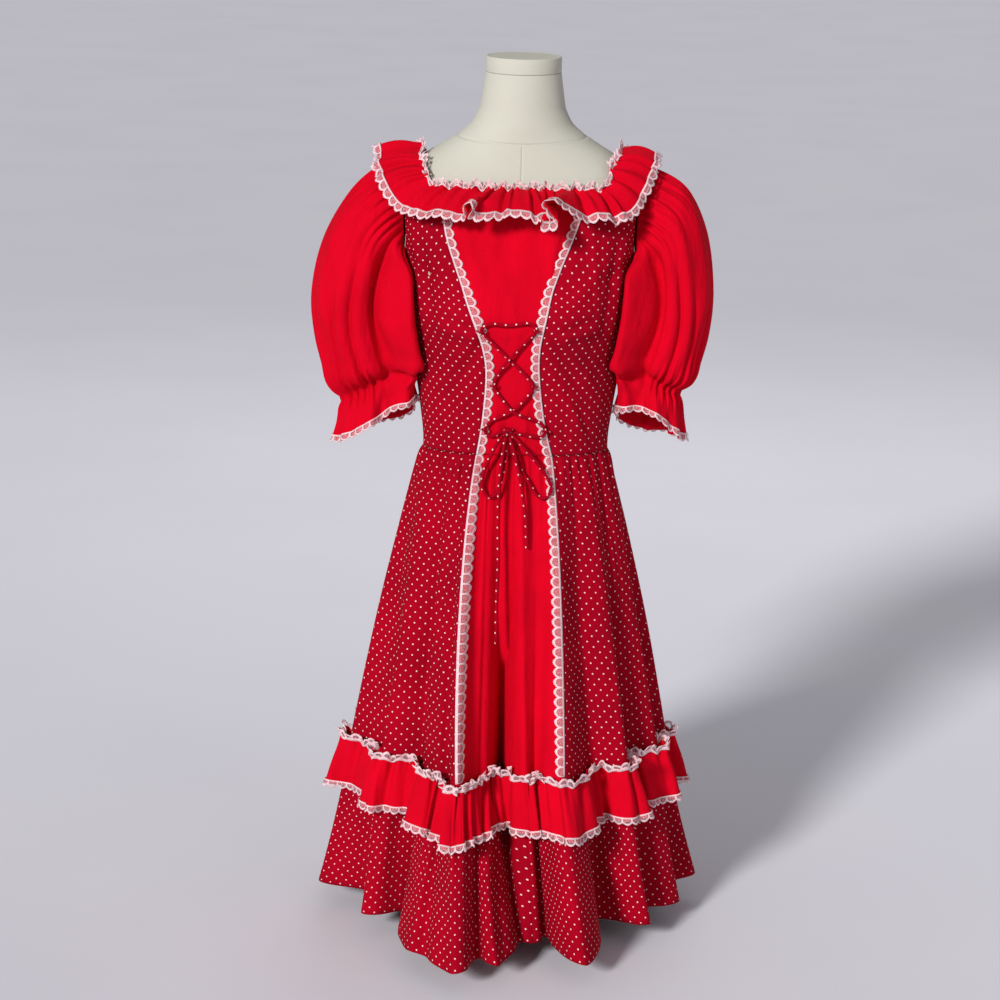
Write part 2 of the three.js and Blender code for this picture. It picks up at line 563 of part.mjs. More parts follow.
// The puffed sleeves: rings from the armhole, past the elastic, to the cuff's hem. Each ring has
// its outermost and innermost points, its half depth from front to back and its waves' height.
const SLEEVES = {
  left: [
    { outerX: 190, outerZ: 1066, innerX: 166, innerZ: 936, depth: 54, wave: 3 },
    { outerX: 231, outerZ: 1031, innerX: 170, innerZ: 917, depth: 60, wave: 2.5 },
    { outerX: 262, outerZ: 973, innerX: 165, innerZ: 891, depth: 64, wave: 1.6 },
    { outerX: 278, outerZ: 900, innerX: 161, innerZ: 863, depth: 64, wave: 1.2 },
    { outerX: 275, outerZ: 842, innerX: 157, innerZ: 838, depth: 60, wave: 1.8 },
    { outerX: 261, outerZ: 784, innerX: 153, innerZ: 816, depth: 50, wave: 2.6 },
    { outerX: 244, outerZ: 744, innerX: 150, innerZ: 799, depth: 38, wave: 2 }, // the elastic
    { outerX: 244, outerZ: 716, innerX: 146, innerZ: 776, depth: 41, wave: 2.6 },
    { outerX: 248, outerZ: 688, innerX: 141, innerZ: 748, depth: 46, wave: 3 },
  ],
  right: [
    { outerX: 186, outerZ: 1067, innerX: 166, innerZ: 936, depth: 54, wave: 3 },
    { outerX: 226, outerZ: 1043, innerX: 170, innerZ: 920, depth: 60, wave: 2.5 },
    { outerX: 250, outerZ: 990, innerX: 166, innerZ: 896, depth: 63, wave: 1.6 },
    { outerX: 261, outerZ: 912, innerX: 162, innerZ: 868, depth: 62, wave: 1.2 },
    { outerX: 258, outerZ: 852, innerX: 158, innerZ: 843, depth: 58, wave: 1.8 },
    { outerX: 245, outerZ: 798, innerX: 154, innerZ: 820, depth: 49, wave: 2.6 },
    { outerX: 228, outerZ: 763, innerX: 150, innerZ: 802, depth: 38, wave: 2 }, // the elastic
    { outerX: 229, outerZ: 730, innerX: 146, innerZ: 774, depth: 42, wave: 2.6 },
    { outerX: 231, outerZ: 698, innerX: 141, innerZ: 742, depth: 47, wave: 3 },
  ],
};
const SLEEVE_COLUMNS = 26;
const SLEEVE_FORWARD = 3; // the puffs hang a little in front of the shoulder
const SLEEVE_CLEAR = 8; // least distance from the bodice to the middle of a sleeve's wall
// The lobe of each puff that hangs forward against the bodice's side: where it is round the ring,
// in radians, how far it leans, and its share in each ring
const LOBE = { turn: 2.3, wide: 0.8, inward: 26, forward: 12, shares: [0, 0.2, 0.6, 1, 1, 1, 0.7, 0.3, 0.2] };

function sleeveSurface(name, sign) {
  const start = (share) => {
    const { angle, z } = armhole(share);
    return onFigure(sign * angle, z, outside(z) + LAID);
  };
  const ring = (r, k, share) => {
    const turn = 2 * Math.PI * share;
    const lobe = LOBE.shares[k] * Math.exp(-(((turn - LOBE.turn) / LOBE.wide) ** 2));
    const x = (r.outerX + r.innerX) / 2 + (Math.cos(turn) * (r.outerX - r.innerX)) / 2 - LOBE.inward * lobe;
    const y = -SLEEVE_FORWARD - r.depth * Math.sin(turn) - LOBE.forward * lobe;
    const z = (r.outerZ + r.innerZ) / 2 + (Math.cos(turn) * (r.outerZ - r.innerZ)) / 2;
    const angle = deg(Math.atan2(x, -y));
    const clear = k ? figureReach(angle, z) + outside(z) + SLEEVE_CLEAR : 0;
    return onCircle(sign * angle, Math.max(Math.hypot(x, y), clear), z);
  };
  return (u, v) => {
    const share = (((-sign * u) % 1) + 1) % 1;
    const stations = [start(share), ...SLEEVES[name].map((r, k) => ring(r, k, share))];
    return at(through(column(stations, "x"), v), through(column(stations, "y"), v), through(column(stations, "z"), v));
  };
}

function buildSleeves() {
  for (const { name, sign } of SIDES) {
    const rings = SLEEVES[name];
    const surface = sleeveSurface(name, sign);
    const shares = steps(SLEEVE_COLUMNS).slice(0, -1);
    const lift = (i, j) => (i ? zigzag(j) * rings[i - 1].wave : 0);
    const stations = steps(rings.length, 0, rings.length);
    add(`sleeve_${name}`, wallOn(surface, shares, stations, { closed: true, lift }), RED);
    const hemWave = rings[rings.length - 1].wave;
    const edging = { closed: true, thickness: LACE_WALL, lift: (i, j) => onTop + zigzag(j) * hemWave };
    const rows = [rings.length - EDGING.lap / 30, rings.length + EDGING.reach / 30];
    add(`cuff_lace_${name}`, wallOn(surface, shares, rows, edging), LACE_PINK);
  }
}

// The scalloped lace bands, on the plain centre panels along the princess lines and down the skirt
const BAND = { width: 15, top: 1036 };
function buildBands() {
  const places = { left: LEFT_LINE, right: RIGHT_LINE };
  for (const { name, sign } of SIDES) {
    const rowsZ = [waistZ(0) + 3, ...LEVEL_ROWS_Z, ...FRONT_EDGE_Z.slice(0, -1), BAND.top];
    const side = (out) =>
      rowsZ.map((z) => {
        const x = readTable(PRINCESS, "z", z)[name];
        const across = [x, x - sign * BAND.width / 2, x - sign * BAND.width];
        return across.map((edge) => onFigure(angleAtX(edge, z), z, outside(z) + LAID + out));
      });
    add(`bodice_band_${name}`, wallBetween(side(LACE_WALL), side(0)), LACE_PINK);

    const line = places[name];
    const perPlace = (down) => onSkirt(line, down).distanceTo(onSkirt(line - sign * 0.15, down)) / 0.15;
    const band = (u, v) => onSkirt(line - (sign * u * BAND.width) / perPlace(v), v);
    const out = (sign > 0 ? -1 : 1) * (WALL / 2 + LAID + LACE_WALL / 2);
    const rows = [0.015, ...SKIRT_DOWNS.slice(1, -1), 0.97];
    add(`skirt_band_${name}`, wallOn(band, steps(2), rows, { thickness: LACE_WALL, lift: () => out }), LACE_PINK);
  }
}

// The laced front: one covered cord through six loops, tied in a bow whose two tails hang free
const CORD_RADIUS = 2.3;
const CORD_OUT = LAID + LACE_WALL + LAID / 2 + CORD_RADIUS; // over the lace bands
const OVER = 5.4; // how much further out a strand passes over another
const onBodice = (x, z, out) => onFigure(angleAtX(x, z), z, outside(z) + out);
const LACING = [
  { x: -19.6, z: 727, over: 0 },
  { x: -31, z: 721, over: 0 },
  { x: -39, z: 723, over: 0 },
  { x: -41, z: 731, over: 0 },
  { x: -33, z: 742, over: 0 },
  { x: -4, z: 758, over: 0 },
  { x: 14, z: 777, over: 0 },
  { x: 22, z: 793, over: 0 },
  { x: 12, z: 808, over: 0 },
  { x: -13, z: 832, over: 0 },
  { x: -36, z: 857, over: 0 },
  { x: -47, z: 871, over: 0 },
  { x: -38, z: 879, over: 0 },
  { x: -13, z: 877, over: 0 },
  { x: 12, z: 880, over: 0 },
  { x: 22, z: 878, over: 0 },
  { x: 25, z: 870, over: 0 },
  { x: 13, z: 857, over: 0 },
  { x: -13, z: 832, over: OVER },
  { x: -26, z: 809, over: 0 },
  { x: -31, z: 793, over: 0 },
  { x: -22, z: 777, over: 0 },
  { x: -4, z: 758, over: OVER },
  { x: 30, z: 742, over: 0 },
  { x: 39, z: 731, over: 0 },
  { x: 37, z: 723, over: 0 },
  { x: 28, z: 721, over: 0 },
  { x: -2.4, z: 727, over: 0 },
];
const LOOPS = [
  { name: "top_left", x: -47, z: 871 },
  { name: "top_right", x: 25.3, z: 871 },
  { name: "middle_left", x: -31, z: 793 },
  { name: "middle_right", x: 22.7, z: 793 },
  { name: "low_left", x: -41, z: 730 },
  { name: "low_right", x: 39.3, z: 730 },
];
const LOOP = { tube: 1, slack: 1.5, arc: 100 };
const KNOT = { x: -11, y: -104, z: 727, halfWidth: 8.4, halfDepth: 6.5, halfHeight: 8 };
const BOW = {
  left: [[-18.7, -105.5, 721.4], [-30, -108, 702], [-41, -106, 674], [-44, -106, 652], [-35, -106, 637], [-24, -106, 643], [-17, -106, 668], [-14, -103, 695], [-14, -101.5, 718.2]],
  right: [[-3.8, -105.5, 721.8], [12, -108, 706], [35, -106, 678], [49, -106, 652], [42, -107, 638], [30, -107, 641], [15, -106, 664], [-2, -103, 692], [-8, -101.5, 718.2]],
};
const TAILS = {
  left: [[-14, -107.3, 719.2], [-18, -112, 690], [-21, -115, 650], [-21, -117, 600], [-20, -123, 550], [-21, -130, 500], [-21, -136, 441]],
  right: [[-8, -107.3, 719.2], [1, -112, 690], [10, -115, 650], [16, -116, 610], [18, -118, 571]],
};

function buildLacing() {
  const path = LACING.map(({ x, z, over }) => onBodice(x, z, CORD_OUT + over));
  add("lacing_cord", tube(path, CORD_RADIUS, 50, 8), DOTTED_RED);
  const bend = CORD_RADIUS + LOOP.slack + LOOP.tube;
  for (const { name, x, z } of LOOPS) {
    const arch = steps(6, -LOOP.arc, LOOP.arc).map((turn) =>
      onBodice(x + bend * Math.sin(rad(turn)), z, CORD_OUT + bend * Math.cos(rad(turn))),
    );
    add(`lacing_loop_${name}`, tube(arch, LOOP.tube, 5, 5), DOTTED_RED);
  }
  const knot = new THREE.SphereGeometry(1, 12, 8).rotateX(Math.PI / 2);
  knot.scale(KNOT.halfWidth, KNOT.halfDepth, KNOT.halfHeight).translate(KNOT.x, KNOT.y, KNOT.z);
  add("bow_knot", knot, DOTTED_RED);
  for (const { name } of SIDES) {
    add(`bow_loop_${name}`, tube(BOW[name].map((p) => at(...p)), CORD_RADIUS, 14, 8), DOTTED_RED);
    add(`cord_tail_${name}`, tube(TAILS[name].map((p) => at(...p)), CORD_RADIUS, name === "left" ? 20 : 11, 8), DOTTED_RED);
  }
}

buildForm();
buildBodice();
buildZipLap();
buildBands();
buildSkirt();
buildTierRuffle();
buildNeckRuffle();
buildSleeves();
buildLacing();
export default group;
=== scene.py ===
# %% [markdown]
# # A square dance dress on a dress form
# The dress is red cotton: plain in the middle, pin-dotted at the sides, with puffed sleeves, gathered
# ruffles, scalloped lace and a laced front. It hangs on a limbless dress form. This lesson makes the
# visible pieces around a fixed frame of simple solids. Sizes are worked out in millimetres, as on a
# paper pattern, and turned into metres when a mesh is made.

# %% Load the frame
import math

import bpy
import numpy as np
from mathutils import Matrix, Vector


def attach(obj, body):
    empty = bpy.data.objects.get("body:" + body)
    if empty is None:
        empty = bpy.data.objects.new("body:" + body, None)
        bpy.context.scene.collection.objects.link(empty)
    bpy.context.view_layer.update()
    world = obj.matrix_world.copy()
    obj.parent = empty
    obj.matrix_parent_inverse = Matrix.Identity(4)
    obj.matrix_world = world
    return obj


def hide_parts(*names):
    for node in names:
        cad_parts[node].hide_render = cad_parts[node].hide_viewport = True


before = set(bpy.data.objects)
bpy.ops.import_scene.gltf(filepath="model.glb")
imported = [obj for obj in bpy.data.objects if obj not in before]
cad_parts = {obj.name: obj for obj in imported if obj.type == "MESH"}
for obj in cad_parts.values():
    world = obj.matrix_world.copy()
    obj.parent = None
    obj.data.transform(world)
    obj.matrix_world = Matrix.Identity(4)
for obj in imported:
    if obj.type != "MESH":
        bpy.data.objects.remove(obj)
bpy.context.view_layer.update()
bpy.ops.object.select_all(action="DESELECT")
scene = bpy.context.scene
MM = 0.001
print("solids in the frame:", len(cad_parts))

# %% [markdown]
# The camera stands four metres away, at eye height, and looks down by about fifteen degrees. A long
# lens keeps the hem and the shoulders in proportion. The object leans slightly clockwise in the
# picture, so the camera is turned by the same small angle.

# %% Camera
camera_data = bpy.data.cameras.new("camera")
camera_data.sensor_width = 36
camera_data.lens = 107.2
camera_data.clip_end = 200
camera = bpy.data.objects.new("camera", camera_data)
scene.collection.objects.link(camera)
scene.camera = camera
stand_point = Matrix.Translation((-0.0195, -4.0, 1.64))
tilt = Matrix.Rotation(math.radians(90 - 14.5), 4, "X")
camera.matrix_world = stand_point @ tilt @ Matrix.Rotation(math.radians(1.2), 4, "Z")
print("camera at", tuple(round(x, 3) for x in camera.matrix_world.translation))

# %% [markdown]
# Smooth shapes are read from short tables of numbers. A cubic curve goes through the numbers, and
# past their ends it runs straight on, or wraps round where the table goes once round the body.

# %% Smooth reading of tables
def cubic(get, cell, t):
    a, b, c, d = (get(cell + step) for step in (-1, 0, 1, 2))
    return b + 0.5 * t * (c - a + t * (2 * a - 5 * b + 4 * c - d + t * (3 * (b - c) + d - a)))


def smooth(values, place, closed=False):
    values = np.asarray(values, float)
    place = np.asarray(place, float)
    last = len(values) - 1
    cell = np.floor(place).astype(int)

    def get(k):
        if closed:
            return values[k % len(values)]
        early = values[0] + k * (values[1] - values[0])
        late = values[last] + (k - last) * (values[last] - values[last - 1])
        return np.where(k < 0, early, np.where(k > last, late, values[np.clip(k, 0, last)]))

    return cubic(get, cell, place - cell)


def smooth_turn(angles, place):
    turns = np.concatenate([np.asarray(angles, float) + 360 * turn for turn in (-2, -1, 0, 1, 2)])
    return smooth(turns, np.asarray(place, float) + 2 * len(angles))


def lerp(a, b, t):
    return a + (b - a) * t


def ease(t):
    t = np.clip(t, 0, 1)
    return t * t * (3 - 2 * t)


def hump(x, centre, width):
    return np.exp(-(((x - centre) / width) ** 2))


def point(x, y, z):
    return np.stack(np.broadcast_arrays(x, y, z), -1)


def on_circle(angle, reach, z):
    turn = np.radians(angle)
    return point(reach * np.sin(turn), -reach * np.cos(turn), z)


print("halfway between 1 and 2 in 0, 1, 2, 0:", float(smooth([0, 1, 2, 0], 1.5)))

# %% [markdown]
# The figure is a stack of level sections. Each has a half width, a depth in front and a depth
# behind, and a power that makes it rounder or squarer. Two soft swellings make the bust. All cloth
# on the bodice is measured out from this figure.

# %% The figure's sections
FIGURE = np.array([  # height, half width, depth in front, depth behind, power
    (392, 124, 82, 92, 2.1), (412, 141, 94, 108, 2.2), (470, 150, 98, 115, 2.2),
    (540, 144, 96, 109, 2.2), (610, 131, 90, 96, 2.1), (684, 122, 87, 84, 2.1),
    (740, 127, 93, 86, 2.1), (800, 136, 101, 91, 2.2), (850, 144, 108, 96, 2.2),
    (890, 149, 111, 101, 2.3), (935, 150, 107, 105, 2.5), (975, 152, 99, 106, 2.8),
    (1010, 156, 89, 104, 3.0), (1036, 160, 79, 99, 2.9), (1056, 160, 71, 92, 2.7),
    (1070, 152, 66, 84, 2.5), (1082, 137, 62, 76, 2.3), (1092, 121, 59, 70, 2.2),
    (1104, 102, 56, 64, 2.1), (1116, 84, 54, 59, 2), (1130, 68, 53, 56, 2),
    (1150, 58, 51, 54, 2), (1198, 51, 50, 50, 2),
])
FORM_LOW = FIGURE[0, 0]
FORM_HIGH = FIGURE[-1, 0]
BUST_ANGLE = 34
BUST_Z = 884
BUST_REACH = 15
BUST_WIDE = 21
BUST_TALL = 46


def section(z):
    heights = FIGURE[:, 0]
    k = np.clip(np.searchsorted(heights, z, side="right") - 1, 0, len(heights) - 2)
    place = k + np.clip((z - heights[k]) / (heights[k + 1] - heights[k]), 0, 1)
    return [smooth(FIGURE[:, column], place) for column in (1, 2, 3, 4)]


def figure_reach(angle, z):
    half_width, front, back, power = section(np.asarray(z, float))
    turn = np.radians(angle)
    depth = np.where(np.cos(turn) > 0, front, back)
    total = np.abs(np.sin(turn) / half_width) ** power + np.abs(np.cos(turn) / depth) ** power
    round_angle = np.abs((np.asarray(angle) + 180) % 360 - 180)
    fall = ((round_angle - BUST_ANGLE) / BUST_WIDE) ** 2 + ((z - BUST_Z) / BUST_TALL) ** 2
    return total ** (-1 / power) + BUST_REACH * np.exp(-fall)


def on_figure(angle, z, out):
    angle, z, out = np.broadcast_arrays(*(np.asarray(x, float) for x in (angle, z, out)))
    high = np.minimum(z + 1.5, FORM_HIGH)
    low = np.maximum(z - 1.5, FORM_LOW)
    right = on_circle(angle + 1.5, figure_reach(angle + 1.5, z), z)
    left = on_circle(angle - 1.5, figure_reach(angle - 1.5, z), z)
    down = on_circle(angle, figure_reach(angle, low), low) - on_circle(angle, figure_reach(angle, high), high)
    normal = np.cross(down, right - left)
    normal /= np.linalg.norm(normal, axis=-1, keepdims=True)
    return on_circle(angle, figure_reach(angle, z), z) + normal * out[..., None]


print("reach of the bust, mm:", round(float(figure_reach(BUST_ANGLE, BUST_Z)), 1))

# %% [markdown]
# ## Finishes
# The cotton has a fine plain weave, faint slubs along its threads and a soft rumple. The dotted
# print is the same cloth in a deeper red, with small cream dots on a square lattice that is turned
# by 45 degrees. Patterns read the cloth's own flat map, in metres, so that dots keep their size
# and turn with every fold, as print does.

# %% Helpers for shader nodes
def make_material(name, colour, roughness, sheen=0.0):
    material = bpy.data.materials.new(name)
    material.use_nodes = True
    shader = material.node_tree.nodes["Principled BSDF"]
    shader.inputs["Base Color"].default_value = (*colour, 1)
    shader.inputs["Roughness"].default_value = roughness
    shader.inputs["Sheen Weight"].default_value = sheen
    shader.inputs["Specular IOR Level"].default_value = 0.06
    shader.inputs["Sheen Roughness"].default_value = 0.4
    material.diffuse_color = (*colour, 1)
    return material, material.node_tree, shader


def add_node(tree, kind, settings=None, **inputs):
    node = tree.nodes.new(kind)
    for name, value in (settings or {}).items():
        setattr(node, name, value)
    for name, value in inputs.items():
        socket = node.inputs[int(name[1:])] if name[0] == "i" and name[1:].isdigit() else node.inputs[name]
        if isinstance(value, bpy.types.NodeSocket):
            tree.links.new(value, socket)
        else:
            socket.default_value = value
    return node


def sum_of(tree, operation, first, second):
    return add_node(tree, "ShaderNodeMath", {"operation": operation}, i0=first, i1=second).outputs[0]


def blend_colours(tree, share, first, second):
    node = add_node(tree, "ShaderNodeMix", {"data_type": "RGBA"}, i0=share, i6=first, i7=second)
    return node.outputs[2]


def colour_of(red, green, blue):
    def linear(value):
        value /= 255
        return value / 12.92 if value <= 0.04045 else ((value + 0.055) / 1.055) ** 2.4

    return (linear(red), linear(green), linear(blue))


print("plain red in linear light:", [round(x, 3) for x in colour_of(210, 0, 31)])

# %% Woven cotton, plain and dotted
THREAD = 0.0011  # two threads of the weave, in metres
WAVE_UNIT = 2 * math.pi / 20  # a Wave texture's period at scale 1


def weave_height(tree, flat):
    waves = WAVE_UNIT / THREAD
    across = add_node(tree, "ShaderNodeTexWave", {"bands_direction": "X"}, Vector=flat, Scale=waves)
    along = add_node(tree, "ShaderNodeTexWave", {"bands_direction": "Y"}, Vector=flat, Scale=waves)
    return sum_of(tree, "MAXIMUM", across.outputs["Fac"], along.outputs["Fac"])


def cotton(name, light, dark, dots=None):
    material, tree, shader = make_material(name, light, 0.9, 0.0)
    flat = add_node(tree, "ShaderNodeUVMap", {"uv_map": "flat"}).outputs[0]
    place = add_node(tree, "ShaderNodeTexCoord").outputs["Object"]
    slub_map = add_node(tree, "ShaderNodeMapping", Vector=flat, Scale=(60, 700, 1)).outputs[0]
    slubs = add_node(tree, "ShaderNodeTexNoise", Vector=slub_map, Scale=1.0, Detail=3.0).outputs["Fac"]
    patches = add_node(tree, "ShaderNodeTexNoise", Vector=place, Scale=14.0, Detail=4.0).outputs["Fac"]
    uneven = sum_of(tree, "MULTIPLY_ADD", slubs, 0.35)
    tree.links.new(patches, uneven.node.inputs[2])
    share = add_node(tree, "ShaderNodeMapRange", Value=uneven, i1=0.45, i2=0.95).outputs[0]
    colour = blend_colours(tree, share, (*light, 1), (*dark, 1))
    if dots:
        spacing, radius, cream = dots
        turned = add_node(tree, "ShaderNodeMapping", Vector=flat, Rotation=(0, 0, math.radians(45)),
                          Scale=(1 / spacing, 1 / spacing, 0)).outputs[0]
        cell = add_node(tree, "ShaderNodeVectorMath", {"operation": "FRACTION"}, i0=turned).outputs[0]
        centred = add_node(tree, "ShaderNodeVectorMath", {"operation": "SUBTRACT"}, i0=cell,
                           i1=(0.5, 0.5, 0)).outputs[0]
        away = add_node(tree, "ShaderNodeVectorMath", {"operation": "LENGTH"}, i0=centred).outputs["Value"]
        soft = 0.25 * radius
        inside = add_node(tree, "ShaderNodeMapRange", Value=away, i1=(radius - soft) / spacing,
                          i2=(radius + soft) / spacing, i3=1.0, i4=0.0).outputs[0]
        colour = blend_colours(tree, inside, colour, (*cream, 1))
    tree.links.new(colour, shader.inputs["Base Color"])
    fall = add_node(tree, "ShaderNodeMapping", Vector=place, Scale=(48, 48, 15)).outputs[0]
    rumple = add_node(tree, "ShaderNodeTexNoise", Vector=fall, Scale=1.0, Detail=3.0).outputs["Fac"]
    coarse = add_node(tree, "ShaderNodeBump", Height=rumple, Distance=0.006, Strength=0.6).outputs[0]
    weave = weave_height(tree, flat)
    fine = add_node(tree, "ShaderNodeBump", Height=weave, Distance=0.0002, Strength=0.35, Normal=coarse)
    tree.links.new(fine.outputs[0], shader.inputs["Normal"])
    return material


RED = colour_of(210, 0, 31)
RED_DEEP = colour_of(190, 0, 26)
CRIMSON = colour_of(164, 0, 28)
CRIMSON_DEEP = colour_of(140, 0, 24)
DOT_CREAM = colour_of(246, 214, 206)
plain_cotton = cotton("plain_cotton", RED, RED_DEEP)
dotted_cotton = cotton("dotted_cotton", CRIMSON, CRIMSON_DEEP, (0.0108, 0.00098, DOT_CREAM))
dotted_cord = cotton("dotted_cord", CRIMSON, CRIMSON_DEEP, (0.0102, 0.0011, DOT_CREAM))
print("finishes:", plain_cotton.name, dotted_cotton.name, dotted_cord.name)

# %% [markdown]
# The lace is cotton thread worked on a fine net. The worked parts are solid, with a raised cord, and
# the windows between them are net that the red cloth shows through. The net's own holes are far
# smaller than a pixel here, so its material is a fine mesh of thread with see-through holes.

# %% Lace thread and net
LACE_WHITE = colour_of(240, 224, 226)
lace_thread, tree, shader = make_material("lace_thread", LACE_WHITE, 0.85, 0.2)
flat = add_node(tree, "ShaderNodeUVMap", {"uv_map": "flat"}).outputs[0]
stitches = add_node(tree, "ShaderNodeTexVoronoi", {"feature": "F1"}, Vector=flat, Scale=900.0)
shade = blend_colours(tree, stitches.outputs["Distance"], (*LACE_WHITE, 1), (*colour_of(214, 160, 168), 1))
tree.links.new(shade, shader.inputs["Base Color"])
relief = add_node(tree, "ShaderNodeBump", Height=stitches.outputs["Distance"], Distance=0.0004, Strength=0.6)
relief.invert = True
tree.links.new(relief.outputs[0], shader.inputs["Normal"])

lace_net, tree, shader = make_material("lace_net", colour_of(236, 205, 210), 0.9)
flat = add_node(tree, "ShaderNodeUVMap", {"uv_map": "flat"}).outputs[0]
cells = add_node(tree, "ShaderNodeTexVoronoi", {"feature": "DISTANCE_TO_EDGE"}, Vector=flat, Scale=1100.0)
from_thread = cells.outputs["Distance"]
threads = add_node(tree, "ShaderNodeMapRange", Value=from_thread, i1=0.012, i2=0.045, i3=1.0, i4=0.0)
tree.links.new(threads.outputs[0], shader.inputs["Alpha"])
print("finishes:", lace_thread.name, lace_net.name)

# %% [markdown]
# The form's cover is cream jersey, a fine knit. The stand is bright and painted steel. Both have
# faint marks of use, which keep them from looking like plastic.

# %% Jersey and steel
jersey, tree, shader = make_material("jersey", colour_of(192, 190, 177), 0.9, 0.0)
place = add_node(tree, "ShaderNodeTexCoord").outputs["Object"]
marks = add_node(tree, "ShaderNodeTexNoise", Vector=place, Scale=11.0, Detail=5.0).outputs["Fac"]
shade = blend_colours(tree, marks, (*colour_of(198, 196, 183), 1), (*colour_of(184, 182, 168), 1))
tree.links.new(shade, shader.inputs["Base Color"])
knit = add_node(tree, "ShaderNodeTexVoronoi", Vector=place, Scale=900.0).outputs["Distance"]
relief = add_node(tree, "ShaderNodeBump", Height=knit, Distance=0.0003, Strength=0.35)
tree.links.new(relief.outputs[0], shader.inputs["Normal"])


def steel(name, colour, roughness, metallic):
    material, tree, shader = make_material(name, colour, roughness)
    shader.inputs["Metallic"].default_value = metallic
    place = add_node(tree, "ShaderNodeTexCoord").outputs["Object"]
    stretched = add_node(tree, "ShaderNodeMapping", Vector=place, Scale=(120, 120, 4)).outputs[0]
    brushed = add_node(tree, "ShaderNodeTexNoise", Vector=stretched, Scale=3.0, Detail=3.0).outputs["Fac"]
    rough = add_node(tree, "ShaderNodeMapRange", Value=brushed, i3=roughness - 0.08, i4=roughness + 0.12)
    tree.links.new(rough.outputs[0], shader.inputs["Roughness"])
    relief = add_node(tree, "ShaderNodeBump", Height=brushed, Distance=0.0001, Strength=0.3)
    tree.links.new(relief.outputs[0], shader.inputs["Normal"])
    return material


bright_steel = steel("bright_steel", (0.62, 0.62, 0.64), 0.22, 1.0)
painted_steel = steel("painted_steel", (0.34, 0.34, 0.35), 0.45, 0.0)
print("finishes:", jersey.name, bright_steel.name, painted_steel.name)

# %% [markdown]
# ## Cloth from a grid
# A piece of cloth is a grid of points on its surface. The same grid is laid flat to make the UV map:
# each row keeps its true length, so the map is close to the paper pattern the piece was cut from,
# and the pattern's area comes from it.

# %% Grids, flat maps and meshes
def pushed_out(surface, u, v, out):
    u, v, out = np.broadcast_arrays(*(np.asarray(x, float) for x in (u, v, out)))
    nudge = 0.01
    across = surface(u + nudge, v) - surface(u - nudge, v)
    along = surface(u, v + nudge) - surface(u, v - nudge)
    normal = np.cross(along, across)
    normal /= np.linalg.norm(normal, axis=-1, keepdims=True) + 1e-12
    return surface(u, v) + normal * out[..., None]


def lay_flat(points, closed, straight=False):
    """straight: a strip gathered along its top, whose every row was cut as long as its free edge."""
    rows = np.concatenate([points, points[:, :1]], 1) if closed else points
    widths = np.linalg.norm(np.diff(rows, axis=1), axis=-1)
    if straight:
        widths = np.broadcast_to(widths[-1], widths.shape)
    across = np.concatenate([np.zeros((len(rows), 1)), np.cumsum(widths, 1)], 1)
    heights = np.linalg.norm(np.diff(rows, axis=0), axis=-1).mean(1)
    along = np.concatenate([[0], np.cumsum(heights)])
    middle_column = across[:, across.shape[1] // 2]
    flat = np.stack([across - middle_column[:, None], -np.broadcast_to(along[:, None], across.shape)], -1)
    lengths = across[:, -1]
    area = float((0.5 * (lengths[1:] + lengths[:-1]) * heights).sum())
    return flat * MM, (float(lengths.max()) * MM, float(along[-1]) * MM), area * MM * MM


def new_object(name, vertices, faces, uvs, materials, face_materials=None):
    mesh = bpy.data.meshes.new(name)
    mesh.from_pydata(vertices.tolist(), [], faces if isinstance(faces, list) else faces.tolist())
    layer = mesh.uv_layers.new(name="flat")
    layer.data.foreach_set("uv", np.asarray(uvs, np.float32).ravel())
    mesh.polygons.foreach_set("use_smooth", np.ones(len(mesh.polygons), bool))
    for material in materials:
        mesh.materials.append(material)
    if face_materials is not None:
        mesh.polygons.foreach_set("material_index", face_materials)
    mesh.update()
    piece = bpy.data.objects.new(name, mesh)
    scene.collection.objects.link(piece)
    return piece


def grid_faces(rows, columns, closed):
    i, j = np.meshgrid(np.arange(rows - 1), np.arange(columns if closed else columns - 1), indexing="ij")
    i, j = i.ravel(), j.ravel()
    near, far = i * columns + j, i * columns + (j + 1) % columns
    faces = np.stack([near, near + columns, far + columns, far], -1)
    corners = [(i, j), (i + 1, j), (i + 1, j + 1), (i, j + 1)]
    return faces, corners


def cloth(name, points, material, closed=False, inside_out=False, thickness=0.8,
          straight=False):
    rows, columns = points.shape[:2]
    flat, cut, area = lay_flat(points, closed, straight)
    faces, corners = grid_faces(rows, columns, closed)
    uvs = np.stack([flat[i, j] for i, j in corners], 1)
    if inside_out:
        faces, uvs = faces[:, ::-1], uvs[:, ::-1]
    piece = new_object(name, points.reshape(-1, 3) * MM, faces, uvs, [material])
    wall = piece.modifiers.new("wall", "SOLIDIFY")
    wall.thickness = thickness * MM
    wall.offset = 0
    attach(piece, "root")
    print(f"{name}: cut {cut[0]:.3f} x {cut[1]:.3f} m, {area:.4f} m2")
    return piece


CREASE_GAIN = 1.5  # how much deeper the creases are than their tables say


def creases(points, lines):
    """Soft ridges (+) and troughs (-) along lines drawn on the front or the back view."""
    lift = np.zeros(points.shape[:-1])
    x, z = points[..., 0], points[..., 2]
    for x0, z0, x1, z1, width, height in lines:
        length = math.hypot(x1 - x0, z1 - z0)
        t = ((x - x0) * (x1 - x0) + (z - z0) * (z1 - z0)) / length**2
        aside = ((x - x0) * (z1 - z0) - (z - z0) * (x1 - x0)) / length
        ends = ease(t / 0.3 + 0.6) * ease((1 - t) / 0.3 + 0.3)
        lift += CREASE_GAIN * height * hump(aside, 0, width) * ends
    return lift


def steps(start, stop, count):
    return np.linspace(start, stop, count + 1)


print("cloth helpers are ready")

